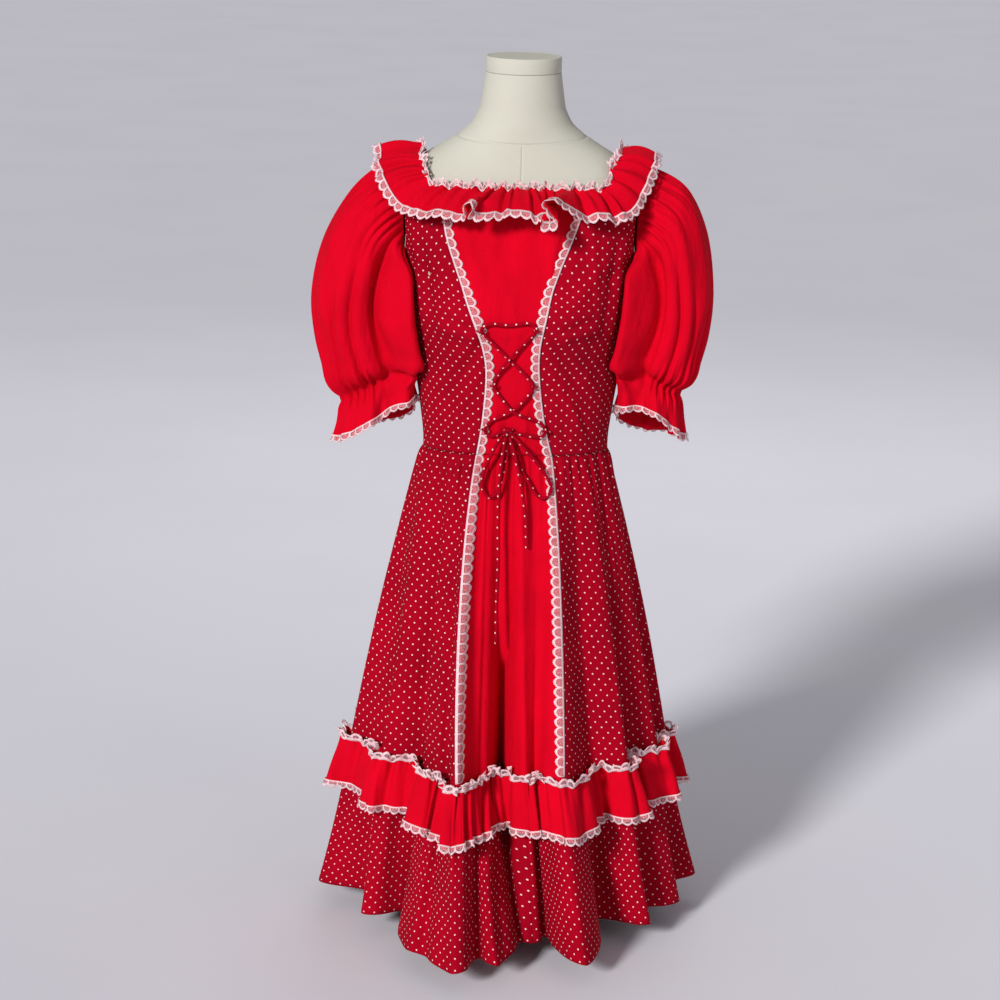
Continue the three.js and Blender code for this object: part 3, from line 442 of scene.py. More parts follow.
# %% [markdown]
# ## The dress form
# The form shows above the neckline. It is one padded torso with a jersey cover, a seam round the base
# of the neck and one down the front. A lofted grid suits it, because its sections are known. The cap,
# the pole and the foot are turned parts, so each is a bevelled cylinder; the cap and the foot are also inset.

# %% The torso
def neck_seam_z(angle):
    return lerp(1122, 1107, 0.5 + 0.5 * np.cos(np.radians(angle)))


form_z = np.concatenate([
    [392, 394, 400], steps(410, 1100, 110), steps(1101, 1126, 30), steps(1130, 1190, 14),
    [1195, 1197.5, 1198],
])
form_angles = np.concatenate([steps(0, 4, 8), steps(7, 353, 110), steps(356, 360, 8)[:-1]])
angle, z = np.meshgrid(form_angles, form_z[::-1])
groove = 1.3 * hump(z, neck_seam_z(angle), 1.3)
front_seam = 1.1 * hump((angle + 180) % 360 - 180, 0, 0.9) * ease((neck_seam_z(angle) - z) / 4)
side_seams = 0.6 * hump(np.abs((angle + 180) % 360 - 180), 90, 1.0) * ease((1080 - z) / 6)
edge_roll = 8 * (1 - np.sqrt(np.clip(1 - ((400 - z) / 8) ** 2, 0, 1))) * (z < 400)
torso_points = on_figure(angle, z, 0 - groove - front_seam - side_seams - edge_roll)
rows, columns = torso_points.shape[:2]
faces, corners = grid_faces(rows, columns, True)
flat = lay_flat(torso_points, True)[0]
uvs = np.stack([flat[i, j] for i, j in corners], 1).reshape(-1, 2)
ends = np.array([[0, 0, FORM_HIGH], [0, 0, FORM_LOW]])
vertices = np.concatenate([torso_points.reshape(-1, 3), ends]) * MM
top, bottom = rows * columns, rows * columns + 1
fans = [[top, j, (j + 1) % columns] for j in range(columns)]
low_ring = (rows - 1) * columns
fans += [[bottom, low_ring + (j + 1) % columns, low_ring + j] for j in range(columns)]
uvs = np.concatenate([uvs, np.zeros((3 * len(fans), 2))])
torso = new_object("form_torso_cover", vertices, faces.tolist() + fans, uvs, [jersey])
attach(torso, "root")
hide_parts("form_torso")
print("torso faces:", len(torso.data.polygons))

# %% Turned parts by hand: a cylinder, then inset, extrude and bevel in edit mode
def turned(name, radius, low, high, sides):
    bpy.ops.object.select_all(action="DESELECT")
    bpy.ops.mesh.primitive_cylinder_add(vertices=sides, radius=radius * MM, depth=(high - low) * MM,
                                        location=(0, 0, (low + high) / 2 * MM))
    piece = bpy.context.object
    piece.name = name
    piece.data.name = name
    bpy.ops.object.transform_apply(location=True, rotation=True, scale=True)
    return piece


def pick_faces(piece, test):
    bpy.ops.object.mode_set(mode="EDIT")
    bpy.ops.mesh.select_mode(type="FACE")
    bpy.ops.mesh.select_all(action="DESELECT")
    bpy.ops.object.mode_set(mode="OBJECT")
    for face in piece.data.polygons:
        face.select = bool(test(face.center, face.normal))
    bpy.ops.object.mode_set(mode="EDIT")


def finish_turned(piece, material, node, rim_width):
    bpy.ops.object.mode_set(mode="OBJECT")
    bevel = piece.modifiers.new("rim", "BEVEL")
    bevel.width = rim_width * MM
    bevel.segments = 4
    bevel.limit_method = "ANGLE"
    bevel.angle_limit = math.radians(40)
    bpy.ops.object.modifier_apply(modifier="rim")
    bpy.ops.object.shade_smooth_by_angle(angle=math.radians(35))
    piece.data.materials.clear()
    piece.data.materials.append(material)
    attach(piece, "root")
    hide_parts(node)
    print(piece.name, "faces:", len(piece.data.polygons))


cap = turned("neck_cap", 51, 1198.3, 1219.3, 96)
pick_faces(cap, lambda centre, normal: normal.z > 0.9)
bpy.ops.mesh.inset(thickness=5 * MM, depth=0)
bpy.ops.mesh.inset(thickness=1.2 * MM, depth=-0.8 * MM)
bpy.ops.mesh.inset(thickness=1.2 * MM, depth=0.6 * MM)
finish_turned(cap, jersey, "form_neck_cap", 3.5)

pole = turned("pole", 14, 16.3, 391.7, 48)
pick_faces(pole, lambda centre, normal: abs(normal.z) < 0.1)
bpy.ops.object.mode_set(mode="OBJECT")
finish_turned(pole, bright_steel, "stand_pole", 1.0)

foot = turned("foot", 110, 0, 16, 128)
pick_faces(foot, lambda centre, normal: normal.z > 0.9)
bpy.ops.mesh.inset(thickness=60 * MM, depth=0)
bpy.ops.mesh.inset(thickness=4 * MM, depth=-1.5 * MM)
finish_turned(foot, painted_steel, "stand_base", 2.5)

# %% [markdown]
# ## The bodice
# The bodice is fitted: a plain centre front, dotted side fronts and dotted backs, sewn along princess
# seams. Each panel is a grid on the figure, moved out by the ease. A sewn edge is pulled in a little,
# so that the seams show, and a few slack creases are drawn where the picture has them.

# %% Princess lines and the centre front
WAIST_Z = 684
WAIST_RISE = 8
SEAM = 0.3
WALL = 1.6
PRINCESS_Z = np.array([684, 740, 806, 845, 883, 920, 955, 987, 1015, 1060])
PRINCESS_X = {
    "left": np.array([-55, -47, -43, -47, -57, -72, -89, -101, -107, -111]),
    "right": np.array([52, 39, 31, 31, 37, 45, 59, 73, 84, 94]),
}
SIDES = (("left", -1), ("right", 1))


def bodice_middle(z):
    return lerp(4, 3.1, np.clip((z - 1000) / 66, 0, 1)) + WALL / 2


def princess_x(side, z):
    k = np.clip(np.searchsorted(PRINCESS_Z, z, side="right") - 1, 0, len(PRINCESS_Z) - 2)
    place = k + np.clip((z - PRINCESS_Z[k]) / (PRINCESS_Z[k + 1] - PRINCESS_Z[k]), 0, 1)
    return smooth(PRINCESS_X[side], place)


def angle_at_x(x, z):
    half_width, front, _, power = section(np.asarray(z, float))
    share = np.minimum(0.98, np.abs(x / (half_width + bodice_middle(z))))
    return np.degrees(np.arctan2(x, (front + bodice_middle(z)) * (1 - share**power) ** (1 / power)))


def princess_angle(side, z):
    return angle_at_x(princess_x(side, z), z)


def waist_z(angle):
    return WAIST_Z + WAIST_RISE * np.cos(np.radians(angle))


def seam_pull(share, depth=1.1, width=0.035):
    return -depth * (np.exp(-share / width) + np.exp(-(1 - share) / width))


def waist_gathers(points, z, height):
    around = np.degrees(np.arctan2(points[..., 0], -points[..., 1]))
    fine = np.sin(around * 1.35 + 1.6 * np.sin(around * 0.31)) + 0.6 * np.sin(around * 2.35 + 1.0)
    return height * fine * np.exp(-((z - WAIST_Z) / 26) ** 2)


share, rise = np.meshgrid(steps(0.002, 0.998, 48), steps(0, 1, 90))
z = lerp(WAIST_Z + WAIST_RISE + SEAM, 1050, rise)
left_edge, right_edge = princess_angle("left", z), princess_angle("right", z)
angle = lerp(left_edge, right_edge, share)
z = lerp(waist_z(angle) + SEAM, 1050, rise)
centre_surface = on_figure(angle, z, bodice_middle(z))
CENTRE_LINES = [  # x, z to x, z, half width, height: seen from the front, in millimetres
    (-78, 1010, -52, 935, 9, 1.6), (-30, 1035, -38, 950, 10, 1.3), (52, 1035, 40, 930, 6, 2.0),
    (62, 1030, 52, 950, 5, -1.6), (8, 1030, 2, 930, 12, 1.2), (-10, 905, 12, 800, 9, 1.4),
    (-28, 760, -22, 700, 4, 1.5), (-12, 755, -14, 695, 4, -1.5), (14, 760, 10, 695, 4, 1.5),
    (-34, 872, -12, 856, 5, 1.2), (20, 872, 2, 850, 5, -1.0),
]
lift = creases(centre_surface, CENTRE_LINES) + seam_pull(share) + waist_gathers(centre_surface, z, 0.5)
centre_points = on_figure(angle, z, bodice_middle(z) + lift)
centre_front = cloth("centre_front_plain", centre_points, plain_cotton, inside_out=True)
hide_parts("bodice_front_centre")

# %% Side fronts and backs, which fan out from the neckline to the armhole
ARMHOLE_ANGLE = [90, 81, 75, 79, 90, 101, 106, 99]
ARMHOLE_Z = [1067, 1050, 1012, 970, 948, 970, 1012, 1050]
LEVELS = [684, 724, 764, 804, 838, 868, 898]
BUST_LINES = [
    (-60, 868, -104, 884, 5, -1.8), (-58, 858, -112, 868, 7, 1.6), (-72, 905, -118, 962, 8, 1.6),
    (-80, 840, -120, 820, 8, 1.2), (-70, 770, -100, 700, 6, 1.3), (-84, 760, -104, 695, 5, -1.1),
    (-62, 735, -72, 695, 5, -1.2), (-118, 930, -150, 960, 7, -2.0), (-54, 866, -112, 772, 6, 2.0),
    (-50, 846, -100, 752, 5, -1.9), (-46, 812, -92, 716, 5, 1.7), (-142, 985, -124, 850, 5, 1.8),
    (-130, 975, -112, 860, 4.5, -1.7), (-96, 1000, -104, 905, 6, 1.4),
]


def armhole(share):
    place = share * len(ARMHOLE_Z)
    return smooth(ARMHOLE_ANGLE, place, True), smooth(ARMHOLE_Z, place, True)


def side_panel(sign, inner_angle, edge_z, neck_edge, armhole_to, lines):
    neck_angle = [step[0] for step in neck_edge]
    inner_z = LEVELS + edge_z + [step[1] for step in neck_edge]
    count = len(inner_z)
    turn_in = len(LEVELS) + len(edge_z) - 1
    row = steps(0, count - 1, 96)[:, None]
    share = steps(0.002, 0.998, 44)[None, :]
    z_in = np.interp(row, np.arange(count), inner_z)
    neck_turn = np.interp(row, np.arange(turn_in, count), [float(inner_angle(edge_z[-1])), *neck_angle])
    turn = np.where(row <= turn_in, inner_angle(z_in), neck_turn)
    fan = np.clip((row - len(LEVELS)) / (count - 1 - len(LEVELS)), 0, 1)
    arm_turn, arm_z = armhole(lerp(0.5, armhole_to, fan))
    joining = np.clip(row - len(LEVELS) + 1, 0, 1)
    turn_out = np.where(row < len(LEVELS), 90, arm_turn)
    rising = joining * (row > len(LEVELS) - 1)
    z_out = np.where(row < len(LEVELS), lerp(z_in, np.maximum(z_in, min(ARMHOLE_Z)), rising), arm_z)
    angle = lerp(turn, turn_out, share)
    z = lerp(z_in, z_out, share)
    z = z + (waist_z(angle) + SEAM - WAIST_Z) * np.clip(1 - row, 0, 1)
    flat_points = on_figure(sign * angle, z, bodice_middle(z))
    mirrored = flat_points * [-1, 1, 1] if sign > 0 else flat_points
    lift = creases(mirrored, lines) + seam_pull(share) + waist_gathers(flat_points, z, 0.35)
    return on_figure(sign * angle, z, bodice_middle(z) + lift)


BACK_LINES = [
    (-30, 1020, -70, 990, 9, 1.8), (-20, 880, -90, 850, 9, -1.5), (-40, 800, -110, 780, 8, 1.6),
    (-50, 740, -46, 690, 5, 1.3), (-80, 745, -84, 690, 5, -1.3), (-110, 930, -146, 960, 8, -1.8),
]
for side, sign in SIDES:
    def princess(z, side=side):
        return np.abs(princess_angle(side, z))

    front_edge = [930, 965, 1000, 1050]
    points = side_panel(sign, princess, front_edge, [(62.5, 1050), (72, 1070), (90, 1088)], 0, BUST_LINES)
    panel = cloth(f"side_front_{side}_dotted", points, dotted_cotton,
                  inside_out=sign > 0)
    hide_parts(f"bodice_front_{side}")
    back_edge = [(162, 1058), (143, 1059), (124, 1062), (106, 1078), (90, 1089)]
    points = side_panel(sign, lambda z: 180 + 0 * z, [930, 970, 1012, 1058], back_edge, 1, BACK_LINES)
    panel = cloth(f"back_{side}_dotted", points, dotted_cotton,
                  inside_out=sign < 0)
    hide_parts(f"bodice_back_{side}")

# %% The lap over the zip, with its row of stitches
z, x = np.meshgrid(steps(WAIST_Z - WAIST_RISE + 2, 1050, 120)[::-1], steps(-4, 12, 16), indexing="ij")
out = bodice_middle(z) + 1.3 - 0.35 * (hump(x, 9.5, 0.8) + ease((x - 11) / 1) + ease((-3 - x) / 1))
lap = cloth("zip_lap", on_figure(180 - np.degrees(x / 100), z, out), dotted_cotton,
            inside_out=True, thickness=1.2)
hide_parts("back_zip_lap")

# %% [markdown]
# ## The skirt
# The skirt panels are gores that fall in deep, uneven folds. A table gives every crest and hollow: its
# angle at the waist, at the tier seam and at the hem, and how far out it reaches. The flounce takes
# the folds over and opens them further. Small gathers under the waist seam fade out downwards.

# %% The folds in plan
FRONT_FOLDS = [  # angle at the waist, angle and reach at the tier seam, angle and reach at the hem
    (-93, -93, 224, -92, 268), (-80, -77, 176, -78, 190), (-68, -66, 194, -60, 230),
    (-56, -54, 152, -52, 165), (-47, -36, 180, -33, 262), (-40, -27, 182, -22, 284),
    (-32, -18.5, 224, -12, 325), (-24, -15.5, 170, -7.5, 266), (-17, -11.5, 150, -1.5, 286),
    (-8, -7, 82, 5, 208), (4, 7, 160, 11, 212), (16, 14, 146, 16.5, 196), (30, 24, 190, 22, 300),
    (44, 46, 152, 45, 172), (56, 58, 192, 57, 240), (67, 71, 160, 68, 202), (79, 84, 210, 80, 254),
    (89, 94, 190, 92, 218), (99, 103, 229, 104, 280),
]
LEFT_LINE = 6
CENTRE_FRONT = 9
RIGHT_LINE = 12
SIDE_SEAM_RIGHT = 17
BACK_FOLDS = 7
TIER_Z = 250
HEM_Z = 34
folds = [list(fold) for fold in FRONT_FOLDS]
for k in range(2 * BACK_FOLDS + 1):
    part = (k + 1) / (2 * BACK_FOLDS + 2)
    crest = k % 2 == 1
    uneven = 10 * math.sin(2.4 * k)
    last, first = FRONT_FOLDS[-1], FRONT_FOLDS[0]
    folds.append([
        lerp(last[0], first[0] + 360, part),
        lerp(last[1], first[1] + 360, part), (226 if crest else 180) + uneven / 2,
        lerp(last[3], first[3] + 360, part), (282 if crest else 212) + uneven,
    ])
FOLDS = np.array(folds)
CENTRE_BACK = len(FRONT_FOLDS) + BACK_FOLDS
print("folds and hollows round the skirt:", len(FOLDS))


def on_skirt(place, down):
    turn_top = smooth_turn(FOLDS[:, 0], place)
    top = on_figure(turn_top, waist_z(turn_top) - SEAM, bodice_middle(WAIST_Z))
    z = lerp(top[..., 2], TIER_Z + SEAM, down)
    angle = lerp(turn_top, smooth_turn(FOLDS[:, 1], place), down)
    opened = np.maximum(0, down)
    reach_top = np.hypot(top[..., 0], top[..., 1])
    reach = lerp(reach_top, smooth(FOLDS[:, 2], place, True), opened**0.85)
    clear = np.minimum(6, bodice_middle(WAIST_Z) + 6 * opened)
    held_off = figure_reach(angle, np.maximum(z, FORM_LOW)) + clear - np.maximum(0, FORM_LOW - z)
    return on_circle(angle, np.maximum(reach, held_off), z)


def flounce_angle(place, down):
    return lerp(smooth_turn(FOLDS[:, 1], place), smooth_turn(FOLDS[:, 3], place), down)


def flounce_reach(place, down):
    low = smooth(FOLDS[:, 4], place, True)
    return lerp(smooth(FOLDS[:, 2], place, True), low, np.maximum(0, down) ** 1.25)


def on_flounce(place, down):
    return on_circle(flounce_angle(place, down), flounce_reach(place, down), lerp(TIER_Z - SEAM, HEM_Z, down))


# %% Skirt panels
def skirt_lift(place, down):
    gather = np.sin(place * 9.1 + 1.3 * np.sin(place * 2.3)) + 0.6 * np.sin(place * 15.7 + 2 * down)
    soft = np.sin(place * 5.3 + 2.2 * down + 1.1 * np.sin(place * 1.7))
    plain = 1 - 0.7 * hump(place, CENTRE_FRONT, 2.2)
    gathered = 1.9 * gather * np.exp(-down / 0.16) * ease(down / 0.03)
    hanging = 3.8 * plain * soft * ease(down * 1.4) * (1 - 0.4 * down)
    return gathered + hanging


PANELS = (
    ("front_left", 0, LEFT_LINE, dotted_cotton), ("front_centre", LEFT_LINE, RIGHT_LINE, plain_cotton),
    ("front_right", RIGHT_LINE, SIDE_SEAM_RIGHT, dotted_cotton),
    ("back_right", SIDE_SEAM_RIGHT, CENTRE_BACK, dotted_cotton),
    ("back_left", CENTRE_BACK, len(FOLDS), dotted_cotton),
)
for name, start, stop, material in PANELS:
    place, down = np.meshgrid(steps(start + 0.006, stop - 0.006, 20 * (stop - start)), steps(0, 1, 50))
    seams = seam_pull((place - start) / (stop - start), 1.0, 0.01)
    points = pushed_out(on_skirt, place, down, skirt_lift(place, down) + seams)
    panel = cloth(f"skirt_{name}_panel", points, material)
    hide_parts(f"skirt_{name}")

# %% The flounce in four pieces, with a turned hem
def flounce_lift(place, down):
    pucker = np.sin(place * 11.3 + 1.5 * np.sin(place * 2.9)) * ease(down / 0.35) * np.exp(-down / 0.5)
    wave = np.sin(place * 6.1 + 1.2 * np.sin(place * 1.3))
    return 4.5 * pucker + 3.6 * wave * ease(down)


FLOUNCES = (
    ("front_left", 0, CENTRE_FRONT), ("front_right", CENTRE_FRONT, SIDE_SEAM_RIGHT),
    ("back_right", SIDE_SEAM_RIGHT, CENTRE_BACK), ("back_left", CENTRE_BACK, len(FOLDS)),
)
for name, start, stop in FLOUNCES:
    place, down = np.meshgrid(steps(start + 0.006, stop - 0.006, 22 * (stop - start)), steps(0, 1, 28))
    hem = 0.5 * hump(down, 0.97, 0.006) - 0.4 * hump(down, 0.955, 0.006)
    points = pushed_out(on_flounce, place, down, flounce_lift(place, down) + hem)
    piece = cloth(f"flounce_{name}_piece", points, dotted_cotton,
                  straight=True)
    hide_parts(f"flounce_{name}")

# %% [markdown]
# ## Ruffles
# A ruffle is a long strip gathered on one edge. Its waves are narrow and low at the seam and open out
# to the free edge. The tier ruffle hangs over the tier seam and bridges the narrow hollows of the
# skirt. The neck ruffle lies over the shoulders and falls forwards, and its outer edge turns over in
# two places. The lace on a ruffle reads the same two functions, so it follows every wave.

# %% The tier ruffle
RUFFLE_TOP = 254
RUFFLE_BOTTOM = 184
RUFFLE_DEPTH = RUFFLE_TOP - RUFFLE_BOTTOM
TIER_COLUMNS = 3  # half waves to each fold of the skirt


def tier_meander(place):
    turn = 2 * math.pi * place / len(FOLDS)
    return 2.0 + 2.8 * np.sin(83 * turn + 2.2 * np.sin(9 * turn)) + 1.8 * np.sin(131 * turn + 1)


def bridged_reach(place, down):
    angle = flounce_angle(place, down)
    reach = np.full(np.shape(angle), 132.0)
    for by in np.arange(-2, 2.01, 0.1):
        other = flounce_reach(place + by, down)
        away = np.abs(np.radians(flounce_angle(place + by, down) - angle)) * other
        reach = np.maximum(reach, other - (2.4 + 3 * hump(place, CENTRE_FRONT, 0.9)) * away)
    return reach


def on_tier_ruffle(place, v):
    z = lerp(RUFFLE_TOP, RUFFLE_BOTTOM, v)
    down = (TIER_Z - SEAM - z) / (TIER_Z - SEAM - HEM_Z)
    stands_off = smooth([11, 18, 20], 2 * v) + 4 * hump(place, CENTRE_FRONT, 1.2) * ease(v)
    meander = tier_meander(place) * np.exp(-np.maximum(v, 0) / 0.12)
    return on_circle(flounce_angle(place, down), bridged_reach(place, down) + stands_off, z + meander)


def tier_wave(place, v):
    column = TIER_COLUMNS * place
    turn = 2 * math.pi * place / len(FOLDS)
    wander = 0.5 * np.sin(5 * turn) + 0.4 * np.sin(13 * turn + 1) + 0.2 * np.sin(29 * turn)
    size = 0.95 + 0.3 * np.sin(7 * turn + 2)
    fade = np.exp(-np.maximum(v, 0) / 0.9)
    wide = -np.cos(math.pi * (column + wander)) * size * smooth([2.6, 6.2, 9.2], 2 * v)
    narrow = np.sin(2 * math.pi * column + 2.2 * wander) * 2.8 * fade
    fine = np.sin(3.3 * math.pi * column + 3 * wander) * 1.2 * fade
    return (wide + narrow + fine) * (1 - 0.6 * hump(place, CENTRE_FRONT, 0.8))


place, v = np.meshgrid(steps(0, len(FOLDS), 40 * len(FOLDS))[:-1], steps(0, 1, 18))
tier_points = pushed_out(on_tier_ruffle, place, v, tier_wave(place, v))
tier_ruffle = cloth("tier_ruffle_strip", tier_points, plain_cotton, closed=True)
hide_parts("tier_ruffle")

# %% The neck ruffle
NECK = np.array([  # angle and height on the neckline, then x, y and z of the outer edge
    (-180, 1056, 0, 146, 1020), (-150, 1057, -84, 134, 1022), (-124, 1061, -150, 94, 1032),
    (-106, 1077, -186, 46, 1066), (-90, 1088, -196, 2, 1089), (-71, 1071, -192, -43, 1062),
    (-62, 1050, -160, -88, 1022), (-45, 1048, -98, -124, 1019), (-22, 1048, -46, -136, 1022),
    (0, 1048, 0, -140, 1024), (22, 1048, 45, -144, 1013), (45, 1048, 91, -124, 1019),
    (60.5, 1051, 146, -94, 1020), (68.5, 1075, 176, -43, 1066), (90, 1088, 183, 2, 1087),
    (106, 1077, 176, 46, 1066), (124, 1061, 148, 94, 1032), (150, 1057, 84, 134, 1022),
])
NECK_WAVES = 43
RUFFLE_WALL = 1.8


def neckline(place):
    z = smooth(NECK[:, 1], place, True)
    out = bodice_middle(z) + WALL / 2 + RUFFLE_WALL / 2 + 1.2
    return on_figure(smooth_turn(NECK[:, 0], place), z, out)


# Two places where the outer edge turns over itself, as a path seen from the front: x and z in
# millimetres from where the edge would run straight, and how far the cloth comes forward.
TURNED_FOLD = np.array([
    (0, 0, 0), (4, 6, 1), (7, 8, 2), (-4, 8, 8), (-15, 5, 14), (-20, 1, 18), (-12, -1, 20), (-5, 5, 18),
    (-17, 14, 14), (-32, 27, 18), (-36, 32, 24), (-30, 31, 26), (-25, 20, 18), (-14, 8, 10), (0, 0, 0),
])
SMALL_CURL = np.array([
    (0, 0, 0), (1, 2, 3), (-3, 10, 8), (-9, 17, 12), (-8, 21, 15), (-8, 18, 18), (-16, 10, 16), (-21, 3, 12),
    (-18, -2, 8), (-9, -3, 5), (0, 0, 0),
])


def edge_turn(place, v):
    shift = np.zeros(np.shape(place) + (3,))
    for start, stop, path in ((9.5, 10.95, TURNED_FOLD), (7.35, 8.25, SMALL_CURL)):
        along = (place - start) / (stop - start) * (len(path) - 1)
        inside = (along > 0) & (along < len(path) - 1)
        moved = [np.where(inside, smooth(path[:, column], along), 0) for column in range(3)]
        shift += point(moved[0], -moved[2], moved[1])
    return shift * np.clip(v, 0, 1.2)[..., None] ** 1.6


def calm(place):
    """Less of the even waves where the edge turns over."""
    return 1 - 0.8 * (hump(place, 10.2, 0.6) + hump(place, 7.8, 0.35))


def neck_meander(place):
    turn = 2 * math.pi * place / len(NECK)
    return 2.8 + 3.0 * np.sin(33 * turn + 1.8 * np.sin(5 * turn)) + 1.3 * np.sin(59 * turn + 2)


def on_neck_ruffle(place, v):
    edge = point(*(smooth(NECK[:, column], place, True) for column in (2, 3, 4)))
    seam = neckline(place)
    raised = 28 * v * (1 - v) + neck_meander(place) * np.exp(-np.maximum(v, 0) / 0.1)
    return seam + (edge - seam) * v[..., None] + point(0, 0, raised) + edge_turn(place, v)


def neck_wave(place, v):
    column = 2 * NECK_WAVES * place / len(NECK)
    turn = 2 * math.pi * place / len(NECK)
    wander = 0.6 * np.sin(3 * turn + 1) + 0.5 * np.sin(11 * turn) + 0.3 * np.sin(23 * turn)
    size = 0.7 + 0.45 * np.sin(5 * turn + 0.7)
    fade = np.exp(-np.maximum(v, 0) / 0.35)
    wide = -np.cos(math.pi * 0.5 * (column + 1.4 * wander)) * size * smooth([0.8, 3.6, 5.0], 2 * v)
    narrow = -np.cos(math.pi * (column + wander)) * smooth([1.5, 2.9, 1.6], 2 * v)
    fine = np.sin(2 * math.pi * (column + wander)) * 1.1 * fade
    return (wide * calm(place) + narrow + fine) * np.where(v > 0.6, calm(place), 1)


place, v = np.meshgrid(steps(0, len(NECK), NECK_WAVES * 18)[:-1], steps(0, 1, 22))
neck_points = pushed_out(on_neck_ruffle, place, v, neck_wave(place, v))
neck_ruffle = cloth("neck_ruffle_strip", neck_points, plain_cotton, closed=True)
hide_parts("neck_ruffle")

# %% [markdown]
# ## Puffed sleeves
# A puffed sleeve is a wide tube gathered into the armhole and drawn in by an elastic above its cuff.
# Its rings come from the picture's outline. Fine gathers fan out below the cap, a few long folds fall
# down the puff, and the elastic's shirring spreads into the cuff's waves. On the side of the body the
# puff leans forward as a lobe. The cuff's hem rises in front and drops behind, so its opening shows.

# %% Sleeves
SLEEVES = {  # outer x and z, inner x and z, half depth of each ring
    "left": [(190, 1066, 166, 936, 54), (231, 1031, 170, 917, 60), (262, 973, 165, 891, 64),
             (278, 900, 161, 863, 64), (275, 842, 157, 838, 60), (261, 784, 153, 816, 50),
             (244, 744, 150, 799, 38), (244, 716, 146, 776, 41), (248, 688, 141, 748, 46)],
    "right": [(186, 1067, 166, 936, 54), (226, 1043, 170, 920, 60), (250, 990, 166, 896, 63),
              (261, 912, 162, 868, 62), (258, 852, 158, 843, 58), (245, 798, 154, 820, 49),
              (228, 763, 150, 802, 38), (229, 730, 146, 774, 42), (231, 698, 141, 742, 47)],
}
SLEEVE_RINGS = 9
SLEEVE_FORWARD = 3
LOBE_IN = 38
LOBE_FORWARD = 34
LOBE_SHARES = (0.35, 0.9, 1, 1, 1, 1, 0.8, 0.4, 0.2)
CUFF_OPENING = {  # turn, spread and height of the hem's rise in front and of its drop behind
    "left": ((2.5, 0.7, 12), (4.0, 0.9, -24)),
    "right": ((1.7, 1.0, 22), (4.1, 1.1, -26)),
}


def sleeve_surface(side, sign):
    def surface(u, v):
        share = (-sign * np.asarray(u, float)) % 1
        turn = 2 * math.pi * share
        lean = ease((turn - 1.98) / 0.3) * (1 - ease((turn - 2.65) / 1.0))
        opening = sum(height * np.exp(2 * (np.cos(turn - middle) - 1) / spread**2)
                      for middle, spread, height in CUFF_OPENING[side])
        arm_angle, arm_z = armhole(share)
        stations = [on_figure(sign * arm_angle, arm_z, bodice_middle(arm_z) + WALL / 2 + 0.9)]
        for k, (outer_x, outer_z, inner_x, inner_z, depth) in enumerate(SLEEVES[side]):
            lobe = LOBE_SHARES[k] * lean
            x = (outer_x + inner_x) / 2 + np.cos(turn) * (outer_x - inner_x) / 2 - LOBE_IN * lobe
            y = -SLEEVE_FORWARD - depth * np.sin(turn) - LOBE_FORWARD * lobe
            z = (outer_z + inner_z) / 2 + np.cos(turn) * (outer_z - inner_z) / 2
            z = z + opening * ease((k - 6) / 2)
            angle = np.degrees(np.arctan2(x, -y))
            clear = figure_reach(angle, z) + bodice_middle(z) + WALL / 2 + 8 if k else 0
            stations.append(on_circle(sign * angle, np.maximum(np.hypot(x, y), clear), z))
        stack = np.stack(stations)
        last = len(stations) - 1
        cell = np.floor(v).astype(int)

        def get(k):
            inside = np.take_along_axis(stack, np.clip(k, 0, last)[None, ..., None], 0)[0]
            early = stack[0] + k[..., None] * (stack[1] - stack[0])
            late = stack[last] + (k - last)[..., None] * (stack[last] - stack[last - 1])
            return np.where((k < 0)[..., None], early, np.where((k > last)[..., None], late, inside))

        return cubic(get, cell, (v - cell)[..., None])

    return surface


LONG_FOLDS = (  # share of the ring (0 outside, 0.25 front, 0.5 inside), width, height, from and to ring
    (0.318, 0.011, -13.0, 0.6, 7.4), (0.27, 0.02, 3.0, 0.8, 6.6), (0.19, 0.022, 3.5, 0.8, 6.2),
    (0.155, 0.013, -6.0, 3.4, 7.4), (0.165, 0.011, -4.5, 0.6, 2.9), (0.11, 0.013, -5.0, 4.3, 7.4),
    (0.1, 0.03, 3.0, 1.0, 5.4), (0.065, 0.013, -6.5, 3.9, 7.4), (0.045, 0.012, -4.5, 0.6, 2.4),
    (0.015, 0.03, 3.5, 2.0, 6.4), (0.23, 0.011, -6.5, 2.4, 7.4), (0.365, 0.016, 3.0, 1.5, 7.0),
    (0.405, 0.02, -5.0, 1.8, 7.4), (0.93, 0.018, -6.0, 3.2, 7.4), (0.88, 0.014, -5.0, 0.6, 2.8),
    (0.86, 0.03, 4.0, 1.0, 6.4), (0.79, 0.016, -7.5, 1.2, 7.4), (0.7, 0.032, 4.0, 0.9, 6.5),
    (0.63, 0.018, -6.5, 2.6, 7.4), (0.29, 0.022, -9.0, 7.3, 12.0), (0.2, 0.03, 5.0, 7.3, 12.0),
    (0.12, 0.02, -5.0, 7.3, 12.0),
)


ELASTIC = 6.95  # its place along the rings


